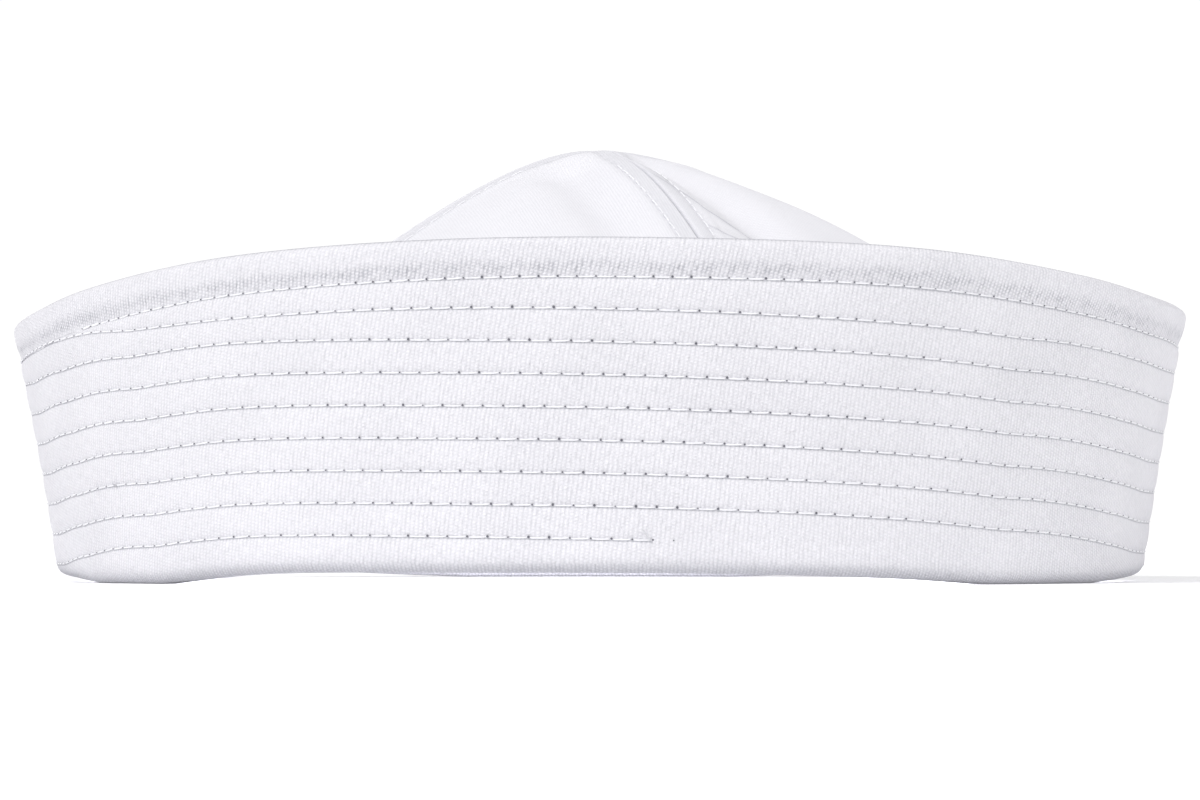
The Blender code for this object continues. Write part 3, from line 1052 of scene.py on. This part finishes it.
@dataclass
class Crown:
    """The crown: four gores of single twill with pressed-open, double-topstitched seams."""

    form: CapForm
    seams: tuple[tuple[str, float], ...] = (
        ("crown_panel_front", -65.0),
        ("crown_panel_right", 21.0),
        ("crown_panel_back", 114.0),
        ("crown_panel_left", 205.0),
    )
    fullness: RoundTable = RoundTable(tuple(r[0] for r in DOME_ROWS), tuple(r[1] for r in DOME_ROWS))
    tip: RoundTable = RoundTable(tuple(r[0] for r in DOME_ROWS), tuple(r[2] for r in DOME_ROWS))
    shoulder: RoundTable = RoundTable(tuple(r[0] for r in DOME_ROWS), tuple(r[3] for r in DOME_ROWS))
    shoulder_exponent: float = 7.0
    gore_hollow: float = 1.2 * MM
    creases: tuple[Crease, ...] = (
        Crease((56.0, 0.12), (39.0, 0.66), 4.9 * MM, 3.00 * MM),
        Crease((-20.0, 0.17), (8.0, 0.52), 5.2 * MM, 2.60 * MM),
        Crease((-98.0, 0.25), (-84.0, 0.62), 9.1 * MM, 0.30 * MM),
        Crease((96.0, 0.30), (104.0, 0.70), 9.8 * MM, 1.05 * MM),
        Crease((-160.0, 0.20), (-172.0, 0.70), 10.5 * MM, 1.80 * MM),
        Crease((150.0, 0.35), (136.0, 0.80), 9.1 * MM, 1.35 * MM),
    )
    sharp_folds: tuple[SharpFold, ...] = (
        SharpFold(
            ((21.0, 0.20, 0.0), (24.5, 0.27, 0.35), (28.8, 0.38, 0.60), (33.0, 0.44, 1.0), (41.0, 0.46, 1.0))
        ),
        SharpFold(((24.5, 0.45, 0.0), (27.0, 0.475, 0.6), (31.0, 0.50, 0.5))),
    )
    fold_reach: float = 2.2 * MM
    dome_rows: int = 84
    band_rows: int = 6
    middle_columns: int = 56
    edge_columns: tuple[float, ...] = (
        0.02, 0.12, 0.24, 0.40, 0.60, 0.85, 1.15, 1.50, 1.90, 2.30,
        2.65, 3.00, 3.35, 3.75, 4.20, 4.65, 5.05, 5.50, 6.20,
    )
    seam_depth: float = 0.45 * MM
    seam_width: float = 0.30 * MM
    ply_rise: float = 0.22 * MM
    allowance: float = 5.0 * MM
    topstitch_away: float = 3.0 * MM
    topstitch: float = 3.0 * MM
    topstitch_dent: float = 0.14 * MM
    twill_angle: float = 34.0

    @property
    def dome_end(self) -> float:
        """Share of the way down at which the dome ends and the upright band begins."""
        return self.form.crown_height / (self.form.crown_band + self.form.crown_height)

    def seam_away(self, azimuth: Array, radius: Array) -> Array:
        """Return the distance from the nearest seam."""
        turns = [np.abs((azimuth - seam + 180.0) % 360.0 - 180.0) for _, seam in self.seams]
        return radius * np.sin(np.radians(np.minimum(np.min(np.stack(turns), axis=0), 90.0)))

    def gore_share(self, azimuth: Array) -> Array:
        """Return how far an azimuth lies across its gore, from 0 to 1."""
        share = np.zeros_like(azimuth)
        for index, (_, start) in enumerate(self.seams):
            span = (self.seams[(index + 1) % len(self.seams)][1] - start) % 360.0
            away = (azimuth - start) % 360.0
            share = np.where(away <= span, away / span, share)
        return share

    def fold_drop(self, x: Array, y: Array) -> Array:
        """Return how far the soft folds lower the crown at places in plan."""
        reach = self.form.crown_radius
        drop = np.zeros_like(x)
        for crease in self.creases:
            start = place(crease.start[0], crease.start[1] * reach, 0.0)
            run = place(crease.end[0], crease.end[1] * reach, 0.0) - start
            _, away = off_line(x, y, start, run)
            drop += crease.depth * bell(away / crease.width)
        return drop

    def fold_map(self, x: Array, y: Array) -> Array:
        """Return the distance in millimetres past the nearest sharp fold and its strength, as a UV map."""
        reach = self.form.crown_radius
        nearest = np.full(x.shape, 50.0 * MM)
        strength = np.zeros(x.shape)
        for sharp in self.sharp_folds:
            for (a0, r0, s0), (a1, r1, s1) in zip(sharp.places, sharp.places[1:]):
                start = place(a0, r0 * reach, 0.0)
                run = place(a1, r1 * reach, 0.0) - start
                share, away = off_line(x, y, start, run)
                side = np.sign(run[0] * (y - start[1]) - run[1] * (x - start[0]))
                closer = away < np.abs(nearest)
                nearest = np.where(closer, side * away, nearest)
                here = (s0 + share * (s1 - s0)) * ease(1.0 - away / self.fold_reach)
                strength = np.where(closer, here, strength)
        return np.stack((nearest / MM, strength), axis=-1)

    def plain(self, azimuth: Array, share: Array) -> Array:
        """Return points of the crown's outer face without its sewing, from the apex (0) to the edge (1)."""
        form = self.form
        reach = form.crown_radius
        band_top = form.fold_height(azimuth) + form.fold_wall + form.seat_gap + form.crown_band
        out = np.sin(np.minimum(share / self.dome_end, 1.0) * np.pi / 2.0)
        tip = self.tip.at(azimuth) / reach
        fullness = self.fullness.at(azimuth)
        shoulder = self.shoulder.at(azimuth)
        body = np.hypot(out, tip) ** fullness - tip**fullness
        fall = (1.0 - shoulder) * body + shoulder * out**self.shoulder_exponent
        whole = (1.0 - shoulder) * (np.hypot(1.0, tip) ** fullness - tip**fullness) + shoulder
        hollow = self.gore_hollow * np.sin(np.pi * self.gore_share(azimuth)) * 4.0 * out * (1.0 - out)
        spot = place(azimuth, reach * out, 0.0)
        fade = ease((1.0 - out) / 0.15) * ease(out / 0.15)
        top = form.crown_height - (form.crown_height - band_top) * fall / whole
        top = top - hollow - fade * self.fold_drop(spot[..., 0], spot[..., 1])
        down = np.clip((share - self.dome_end) / (1.0 - self.dome_end), 0.0, 1.0)
        return place(azimuth, reach * out, top - down * form.crown_band)

    def normal(self, azimuth: Array, share: Array) -> Array:
        """Return the outward directions of the plain crown."""
        step = 0.003
        low = self.plain(azimuth, np.minimum(share + step, 1.0))
        high = self.plain(azimuth, np.maximum(share - step, 0.001))
        turn = np.radians(azimuth)
        out = (low[..., 0] - high[..., 0]) * np.sin(turn) - (low[..., 1] - high[..., 1]) * np.cos(turn)
        fall = high[..., 2] - low[..., 2]
        length = np.hypot(out, fall)
        return np.stack((fall / length * np.sin(turn), -fall / length * np.cos(turn), out / length), axis=-1)

    def relief(self, azimuth: Array, radius: Array) -> Array:
        """Return how far the sewing moves the outer face out."""
        away = self.seam_away(azimuth, radius)
        joint = -self.seam_depth * bell(away / self.seam_width)
        ply = self.ply_rise * ease((self.allowance + 0.4 * MM - away) / (0.8 * MM))
        dent = -self.topstitch_dent * bell((away - self.topstitch_away) / (0.55 * MM))
        fade = ease(radius / (6.0 * MM))
        return joint * ease(radius / (2.0 * MM)) + (ply + dent) * fade

    def outer(self, azimuth: Array, share: Array) -> Array:
        """Return points of the finished outer face."""
        plain = self.plain(azimuth, share)
        radius = np.hypot(plain[..., 0], plain[..., 1])
        lift = self.relief(azimuth, radius) * ease((1.0 - share) / (1.0 - self.dome_end))
        return plain + self.normal(azimuth, share) * lift[..., None]

    def gore_lattice(self, start: float, end: float) -> tuple[Array, Array]:
        """Return the azimuths and the shares of a gore's columns and rows."""
        rows = self.dome_end * (np.arange(1, self.dome_rows + 1) / self.dome_rows) ** 1.05
        rows = np.concatenate(([0.004], rows, np.linspace(self.dome_end, 1.0, self.band_rows + 1)[1:]))
        middle = 0.5 * (start + end)
        half = 0.5 * (end - start)
        plain = self.plain(np.full_like(rows, middle), rows)
        radius = np.hypot(plain[:, 0], plain[:, 1])
        edge = np.asarray(self.edge_columns) * MM
        shrink = np.minimum(1.0, 0.45 * np.radians(half) * radius / edge[-1])
        offset = np.degrees(np.arcsin(np.minimum(1.0, edge[None, :] * shrink[:, None] / radius[:, None])))
        left = start + offset
        right = end - offset[:, ::-1]
        share = np.linspace(0.0, 1.0, self.middle_columns + 2)[1:-1]
        centre = left[:, -1:] + (right[:, :1] - left[:, -1:]) * share[None, :]
        azimuth = np.concatenate((left, centre, right), axis=1)
        return azimuth, np.broadcast_to(rows[:, None], azimuth.shape)

    def build_gore(self, index: int) -> bpy.types.Object:
        """Build one gore as a closed shell.

        Args:
            index: The gore's place in the order round the cap.

        Returns:
            The finished piece, without its material.
        """
        name, start = self.seams[index]
        end = start + (self.seams[(index + 1) % len(self.seams)][1] - start) % 360.0
        azimuth, share = self.gore_lattice(start, end)
        outer = self.outer(azimuth, share)
        inner = self.plain(azimuth, share) - self.normal(azimuth, share) * self.form.crown_wall
        radius = np.hypot(outer[..., 0], outer[..., 1])
        steps = np.linalg.norm(np.diff(outer, axis=0), axis=2)
        along = np.concatenate((radius[:1], radius[:1] + np.cumsum(steps, axis=0)))
        turned = np.radians(azimuth - 0.5 * (start + end)) * radius / np.maximum(along, 1e-6)
        angle = np.radians(self.twill_angle)
        u = along * np.sin(turned)
        v = -along * np.cos(turned)
        across, ribs = u * np.cos(angle) + v * np.sin(angle), v * np.cos(angle) - u * np.sin(angle)
        cloth = np.stack((across, ribs), axis=-1) / MM
        away = self.seam_away(azimuth, radius)
        sewing = np.stack((along / self.topstitch, away / MM), axis=-1)
        flip = np.stack((np.zeros_like(away), np.full_like(away, 50.0)), axis=-1)
        folds = self.fold_map(outer[..., 0], outer[..., 1])
        inside = np.zeros_like(folds)
        points = np.concatenate((outer, inner[:, ::-1], outer[:, :1]), axis=1)
        maps = {
            "cloth": np.concatenate((cloth, cloth[:, ::-1], cloth[:, :1]), axis=1),
            "sewing": np.concatenate((sewing, flip, sewing[:, :1]), axis=1),
            "folds": np.concatenate((folds, inside, folds[:, :1]), axis=1),
        }
        return lattice(name.replace("panel", "cloth"), points, maps, capped=azimuth.shape[1])

    def stitch_guides(self) -> list[Guide]:
        """Return the paths of the topstitch rows, two along each seam."""
        guides = []
        share = np.linspace(0.10, self.dome_end * 0.98, 260)
        for _, seam in self.seams:
            for side in (-1.0, 1.0):
                plain = self.plain(np.full_like(share, seam), share)
                radius = np.hypot(plain[:, 0], plain[:, 1])
                azimuth = seam + side * np.degrees(np.arcsin(self.topstitch_away / radius))
                points = self.outer(azimuth, share)
                length = np.linalg.norm(np.diff(points, axis=0), axis=1).sum()
                guides.append((points, self.normal(azimuth, share), round(length / self.topstitch)))
        return guides


@dataclass(frozen=True)
class StitchLook:
    """Sizes of a row of stitches.

    The needle holes are widest at the cap's front, and from there they narrow to the share shut, as they look
    in a view from the front.
    """

    thread: float = 0.25 * MM
    slant: float = 0.02 * MM
    uptick: float = 0.12 * MM
    sink: float = 0.34 * MM
    rise: float = 0.10 * MM
    hole: float = 0.35 * MM
    hole_shift: float = 0.13 * MM
    shut: float = 0.30
    open_reach: float = 46.0
    jitter: float = 0.025
    seed: int = 5


Shape = Callable[[NodeSketch, dict[str, Socket]], Socket]


class Sewing:
    """Stitches and needle holes that follow guide paths, grown by one Geometry Nodes tree each."""

    def __init__(self, thread: bpy.types.Material, hole: bpy.types.Material) -> None:
        """Build the two trees.

        Args:
            thread: The thread's material.
            hole: The needle holes' material.
        """
        self.stitch_tree = self.make_tree("stitches_on_path", self.stitch_shape, odd=True, material=thread)
        self.hole_tree = self.make_tree("needle_holes_on_path", self.hole_shape, odd=False, material=hole)

    @staticmethod
    def stitch_shape(sketch: NodeSketch, sizes: dict[str, Socket]) -> Socket:
        """Draw one stitch: a thread that rises from one needle hole, lies along the cloth and dives again."""
        half = sketch.math("MULTIPLY", sizes["Stitch Length"], 0.5)
        left = sketch.add("ShaderNodeCombineXYZ", {0: sketch.math("MULTIPLY", half, -1.0)}).outputs[0]
        right = sketch.add("ShaderNodeCombineXYZ", {0: half}).outputs[0]
        line = sketch.add("GeometryNodeCurvePrimitiveLine", {"Start": left, "End": right}).outputs[0]
        bent = sketch.add("GeometryNodeResampleCurve", {"Curve": line, "Count": 8}, mode="COUNT").outputs[0]
        place_now = sketch.add("GeometryNodeInputPosition").outputs[0]
        x = sketch.add("ShaderNodeSeparateXYZ", {0: place_now}).outputs[0]
        way = sketch.math("DIVIDE", x, half)
        even = sketch.math("POWER", sketch.math("ABSOLUTE", way), 6.0)
        height = sketch.math("SUBTRACT", sizes["Rise"], sketch.math("MULTIPLY", even, sizes["Sink"]))
        late = sketch.math("POWER", sketch.math("MULTIPLY_ADD", way, 0.5, 0.5), 8.0)
        hooked = sketch.math("MULTIPLY", late, sizes["Uptick"])
        side = sketch.math("MULTIPLY_ADD", way, sizes["Slant"], hooked)
        shift = sketch.add("ShaderNodeCombineXYZ", {1: side, 2: height}).outputs[0]
        moved = sketch.add("GeometryNodeSetPosition", {"Geometry": bent, "Offset": shift}).outputs[0]
        ring = sketch.add(
            "GeometryNodeCurvePrimitiveCircle",
            {"Resolution": 6, "Radius": sketch.math("MULTIPLY", sizes["Thread Width"], 0.5)},
        ).outputs[0]
        tube = {"Curve": moved, "Profile Curve": ring, "Fill Caps": True}
        return sketch.add("GeometryNodeCurveToMesh", tube).outputs[0]

    @staticmethod
    def hole_shape(sketch: NodeSketch, sizes: dict[str, Socket]) -> Socket:
        """Draw one needle hole: a small plug, dark as painted shadow, whose flat top lies just above the
        drawn-in cloth.
        """
        radius = sketch.math("MULTIPLY", sizes["Hole Width"], 0.5)
        plug = sketch.add(
            "GeometryNodeMeshCone",
            {"Vertices": 8, "Radius Top": radius, "Radius Bottom": sketch.math("MULTIPLY", radius, 0.5),
             "Depth": 0.30 * MM},
        ).outputs[0]
        shift = sketch.add("ShaderNodeCombineXYZ", {1: sizes["Hole Shift"], 2: -0.11 * MM}).outputs[0]
        return sketch.add("GeometryNodeTransform", {"Geometry": plug, "Translation": shift}).outputs[0]

    @staticmethod
    def make_tree(name: str, shape: Shape, odd: bool, material: bpy.types.Material) -> bpy.types.NodeTree:
        """Build a tree that repeats a shape along a path.

        Args:
            name: The tree's name.
            shape: The function that draws the shape.
            odd: Whether the shape stands between the needle's places, as a stitch does, or at them.
            material: What the shape is made of.

        Returns:
            The tree.
        """
        tree = bpy.data.node_groups.new(name, "GeometryNodeTree")
        sketch = NodeSketch(tree)
        tree.interface.new_socket("Geometry", in_out="INPUT", socket_type="NodeSocketGeometry")
        tree.interface.new_socket("Geometry", in_out="OUTPUT", socket_type="NodeSocketGeometry")
        for label in ("Stitches", "Seed"):
            tree.interface.new_socket(label, in_out="INPUT", socket_type="NodeSocketInt")
        for label in (
            "Stitch Length", "Thread Width", "Slant", "Uptick", "Sink", "Rise", "Hole Width", "Hole Shift",
            "Jitter",
        ):
            tree.interface.new_socket(label, in_out="INPUT", socket_type="NodeSocketFloat")
        sizes = sketch.add("NodeGroupInput").outputs
        path = sketch.add("GeometryNodeMeshToCurve", {"Mesh": sizes["Geometry"]}).outputs[0]
        count = sketch.math("MULTIPLY_ADD", sizes["Stitches"], 2.0, 1.0)
        sampled = {"Curve": path, "Count": count}
        evenly = sketch.add("GeometryNodeResampleCurve", sampled, mode="COUNT").outputs[0]
        points = sketch.add("GeometryNodeCurveToPoints", {"Curve": evenly}, mode="EVALUATED")
        outward = sketch.stored("outward", "FLOAT_VECTOR")
        kept = sketch.add(
            "GeometryNodeStoreNamedAttribute",
            {"Geometry": points.outputs[0], "Name": "along", "Value": points.outputs["Tangent"]},
            data_type="FLOAT_VECTOR", domain="POINT",
        ).outputs[0]
        along = sketch.stored("along", "FLOAT_VECTOR")
        turned = sketch.add(
            "FunctionNodeAxesToRotation",
            {"Primary Axis": outward, "Secondary Axis": along}, primary_axis="Z", secondary_axis="X",
        ).outputs[0]
        index = sketch.add("GeometryNodeInputIndex").outputs[0]
        parity = sketch.math("MODULO", index, 2.0)
        chosen = sketch.add(
            "FunctionNodeCompare", {0: parity, 1: 0.5}, operation="GREATER_THAN" if odd else "LESS_THAN"
        ).outputs[0]
        uneven = sketch.add("FunctionNodeRandomValue", {"Seed": sizes["Seed"]}, data_type="FLOAT")
        sketch.feed(uneven.inputs[2], -1.0)
        sketch.feed(uneven.inputs[3], 1.0)
        swing = sketch.math("MULTIPLY", uneven.outputs[1], sizes["Jitter"])
        spin = sketch.add("ShaderNodeCombineXYZ", {2: swing}).outputs[0]
        wobble = sketch.add("FunctionNodeEulerToRotation", {0: spin}).outputs[0]
        facing = sketch.add(
            "FunctionNodeRotateRotation", {"Rotation": turned, "Rotate By": wobble}, rotation_space="LOCAL"
        ).outputs[0]
        swell = sketch.math("MULTIPLY_ADD", swing, 2.5 if odd else 12.0, 1.0)
        openness = sketch.stored("openness", "FLOAT")
        pulled = sketch.math("MULTIPLY", swell, openness)
        spread = sketch.add(
            "ShaderNodeCombineXYZ", {0: 1.0, 1: swell, 2: 1.0} if odd else {0: pulled, 1: pulled, 2: 1.0}
        ).outputs[0]
        repeated = sketch.add(
            "GeometryNodeInstanceOnPoints",
            {"Points": kept, "Selection": chosen, "Instance": shape(sketch, sizes), "Rotation": facing,
             "Scale": spread},
        ).outputs[0]
        real = sketch.add("GeometryNodeRealizeInstances", {"Geometry": repeated}).outputs[0]
        dressed = sketch.add("GeometryNodeSetMaterial", {"Geometry": real, "Material": material}).outputs[0]
        sketch.add("NodeGroupOutput", {"Geometry": dressed})
        return tree

    def grow(self, tree: bpy.types.NodeTree, guide: Guide, look: StitchLook) -> bpy.types.Mesh:
        """Run a tree along one guide path.

        Args:
            tree: The tree.
            guide: The path's points, its outward directions and its number of stitches.
            look: The sizes.

        Returns:
            The plain mesh.
        """
        points, outward, count = guide
        path = bpy.data.meshes.new("stitch_path")
        path.from_pydata(points.tolist(), [(index, index + 1) for index in range(len(points) - 1)], [])
        layer = path.attributes.new("outward", "FLOAT_VECTOR", "POINT")
        layer.data.foreach_set("vector", outward.astype(np.float32).ravel())
        azimuth = np.degrees(np.arctan2(points[:, 0], -points[:, 1]))
        openness = look.shut + (1.0 - look.shut) * bell(azimuth / look.open_reach)
        layer = path.attributes.new("openness", "FLOAT", "POINT")
        layer.data.foreach_set("value", openness.astype(np.float32))
        carrier = stand("stitch_path", path)
        modifier = carrier.modifiers.new("sewing", "NODES")
        modifier.node_group = tree
        length = float(np.linalg.norm(np.diff(points, axis=0), axis=1).sum()) / count
        values = {
            "Stitches": count, "Seed": look.seed, "Stitch Length": length * 0.96, "Thread Width": look.thread,
            "Slant": look.slant, "Uptick": look.uptick, "Sink": look.sink, "Rise": look.rise,
            "Hole Width": look.hole, "Hole Shift": look.hole_shift, "Jitter": look.jitter,
        }
        for item in tree.interface.items_tree:
            if item.name in values:
                modifier[item.identifier] = values[item.name]
        graph = bpy.context.evaluated_depsgraph_get()
        grown = bpy.data.meshes.new_from_object(carrier.evaluated_get(graph), depsgraph=graph)
        carrier.modifiers.clear()
        bpy.data.objects.remove(carrier, do_unlink=True)
        return grown

    def sew(self, name: str, tree: bpy.types.NodeTree, guides: list[Guide],
            look: StitchLook) -> bpy.types.Object:
        """Grow a shape along several guides and join the result into one piece.

        Args:
            name: Name of the piece.
            tree: The tree.
            guides: The guide paths.
            look: The sizes.

        Returns:
            The finished piece.
        """
        parts = [self.grow(tree, guide, look) for guide in guides]
        spots, faces, offset = [], [], 0
        for part in parts:
            flat = np.empty(len(part.vertices) * 3)
            part.vertices.foreach_get("co", flat)
            spots.append(flat.reshape(-1, 3))
            faces += [[corner + offset for corner in face.vertices] for face in part.polygons]
            offset += len(part.vertices)
        material = next(material for material in parts[0].materials if material)
        mesh = bpy.data.meshes.new(name)
        mesh.from_pydata(np.concatenate(spots).tolist(), [], faces)
        mesh.materials.append(material)
        mesh.shade_smooth()
        mesh.set_sharp_from_angle(angle=math.radians(50.0))
        for part in parts:
            bpy.data.meshes.remove(part)
        return stand(name, mesh)


@dataclass
class Studio:
    """A white paper sheet under soft light, and the camera at the photo's angle, just above the surface."""

    camera_place: tuple[float, float, float] = (0.0, -0.93, 0.008)
    camera_tilt: float = 1.475
    lens: float = 157.62
    paper_radius: float = 6.0
    key_light: tuple[float, float, float, float] = (-42.0, 40.0, 1.52, 22.0)
    fill_light: tuple[float, float, float, float] = (64.0, 35.0, 0.62, 60.0)
    inner_light: tuple[float, float, float] = (0.030, 0.22, 0.025)
    horizon: float = 1.03
    sky: float = 0.60

    def build(self) -> None:
        """Build the paper, the lights, the sky and the camera."""
        scene = bpy.context.scene
        scene.view_settings.view_transform = "Standard"
        scene.view_settings.look = "None"
        scene.view_settings.exposure = 0.0
        scene.view_settings.gamma = 1.0
        self.add_paper()
        self.add_light("key", *self.key_light)
        self.add_light("fill", *self.fill_light)
        self.add_inner_light(*self.inner_light)
        self.add_sky()
        camera_data = bpy.data.cameras.new("camera")
        camera_data.lens = self.lens
        camera_data.sensor_width = 36.0
        camera_data.clip_start = 0.05
        camera_data.clip_end = 50.0
        camera = stand("camera", camera_data)
        camera.location = self.camera_place
        camera.rotation_euler = (math.radians(90.0 + self.camera_tilt), 0.0, 0.0)
        scene.camera = camera

    def add_paper(self) -> None:
        """Lay a large round sheet of paper."""
        turns = np.linspace(0.0, 360.0, 65)[:-1]
        points = place(turns, self.paper_radius, -0.05 * MM)
        mesh = bpy.data.meshes.new("studio_floor")
        mesh.from_pydata(points.tolist(), [], [list(range(len(points)))])
        mesh.materials.append(Paper().make())
        floor = stand("studio_floor", mesh)

    def add_sky(self) -> None:
        """Light the studio all round: white above the floor's edge and softer overhead."""
        world = bpy.data.worlds.new("studio_sky")
        world.use_nodes = True
        sketch = NodeSketch(world.node_tree)
        direction = sketch.add("ShaderNodeTexCoord").outputs["Generated"]
        height = sketch.add("ShaderNodeSeparateXYZ", {0: direction}).outputs[2]
        strength = sketch.add(
            "ShaderNodeMapRange",
            {"Value": height, "From Min": 0.12, "From Max": 0.40, "To Min": self.horizon, "To Max": self.sky},
            interpolation_type="SMOOTHSTEP",
        ).outputs[0]
        background = sketch.add("ShaderNodeBackground", {"Color": (1.0, 1.0, 1.0, 1.0), "Strength": strength})
        sketch.add("ShaderNodeOutputWorld", {"Surface": background.outputs[0]})
        bpy.context.scene.world = world

    def add_inner_light(self, height: float, strength: float, radius: float) -> None:
        """Hang a faint lamp under the crown, so that the slit under the lifted fold isn't black."""
        data = bpy.data.lights.new("inner", "POINT")
        data.energy = strength
        data.shadow_soft_size = radius
        stand("inner", data).location = (0.0, 0.0, height)

    def add_light(self, name: str, azimuth: float, elevation: float, strength: float, spread: float) -> None:
        """Add a broad, soft light from far away.

        Args:
            name: The light's name.
            azimuth: Where it stands, in degrees from the front.
            elevation: How high it stands, in degrees.
            strength: Its strength.
            spread: How wide it looks, in degrees.
        """
        data = bpy.data.lights.new(name, "SUN")
        data.energy = strength
        data.angle = math.radians(spread)
        light = stand(name, data)
        flat = math.cos(math.radians(elevation))
        spot = Vector(place(azimuth, 3.0 * flat, 3.0 * math.sin(math.radians(elevation))))
        light.location = spot
        light.rotation_euler = spot.to_track_quat("Z", "Y").to_euler()


@dataclass
class SailorCap:
    """The whole cap: its cloth pieces and its sewing, each dressed and riding on the cap's one body."""

    form: CapForm = field(default_factory=CapForm)

    def dress(self, piece: bpy.types.Object, material: bpy.types.Material | None) -> None:
        """Give a piece its material, if one is given, and let it ride."""
        if material is not None:
            piece.data.materials.clear()
            piece.data.materials.append(material)
        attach(piece, BODY)
        log.info("%s: %d faces", piece.name, len(piece.data.polygons))

    def build(self) -> None:
        """Build and dress every piece."""
        spiral = StitchSpiral(self.form)
        brim = Brim(self.form, spiral)
        crown = Crown(self.form)
        brim_cloth = brim.build()
        brim_finish = BrimTwill(
            "brim_twill_cloth", (0.825, 0.815, 0.854), (0.45, 0.45, 0.49), rib_pitch=0.74,
            last_stitch=float(sum(spiral.counts)),
        ).make()
        self.dress(brim_cloth, brim_finish)
        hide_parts("brim")
        crown_finish = CrownTwill(
            "crown_twill_cloth", (0.815, 0.808, 0.847), (0.56, 0.56, 0.60), rib_pitch=0.50, rib_height=0.028,
            weave_shade_and_tone=0.26, float_length=0.45, float_depth=0.55, fuzz=0.7, yarn_unevenness=0.8,
        ).make()
        for index, (node, _) in enumerate(crown.seams):
            gore = crown.build_gore(index)
            self.dress(gore, crown_finish)
            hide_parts(node)
        sewing = Sewing(Thread().make(), NeedleHole().make())
        brim_look = StitchLook()
        crown_look = StitchLook(
            thread=0.26 * MM, uptick=0.05 * MM, sink=0.60 * MM, rise=0.06 * MM, jitter=0.08, seed=11,
        )
        for name, tree, guides, look, slot in (
            ("brim_stitches", sewing.stitch_tree, brim.stitch_guides(back_tacks=2), brim_look, Slot.BRIM),
            ("brim_needle_holes", sewing.hole_tree, brim.stitch_guides(empty_holes=1), brim_look, Slot.BRIM),
            ("brim_bobbin_stitches", sewing.stitch_tree, brim.bobbin_guides(), brim_look, Slot.BRIM),
            ("crown_stitches", sewing.stitch_tree, crown.stitch_guides(), crown_look, Slot.CROWN),
        ):
            self.dress(sewing.sew(name, tree, guides, look), None)
        # painted shade: the loose end and the nub get a darker copy of the thread's material, for the shade
        # they lie in
        thread = Thread("loose_thread_painted_shade", bright=(0.80, 0.80, 0.82), shaded=(0.45, 0.45, 0.49)).make()
        end_bends = ((0.0, 0.0), (-0.35, 0.10), (-0.75, 0.65), (-1.60, 1.75))
        nub_bends = ((0.1, -0.15), (-0.15, 0.25), (0.15, 0.40), (0.25, 0.05))
        for loose in (
            LooseEnd("brim_thread_end", spiral.end - 0.1, end_bends),
            LooseEnd("brim_thread_nub", 2104.4, nub_bends),
        ):
            self.dress(loose.build(brim), thread)


def main() -> None:
    """Build the studio and the cap."""
    logging.basicConfig(level=logging.INFO, format="%(name)s %(message)s")
    Studio().build()
    SailorCap().build()


if __name__ == "__main__":
    main()
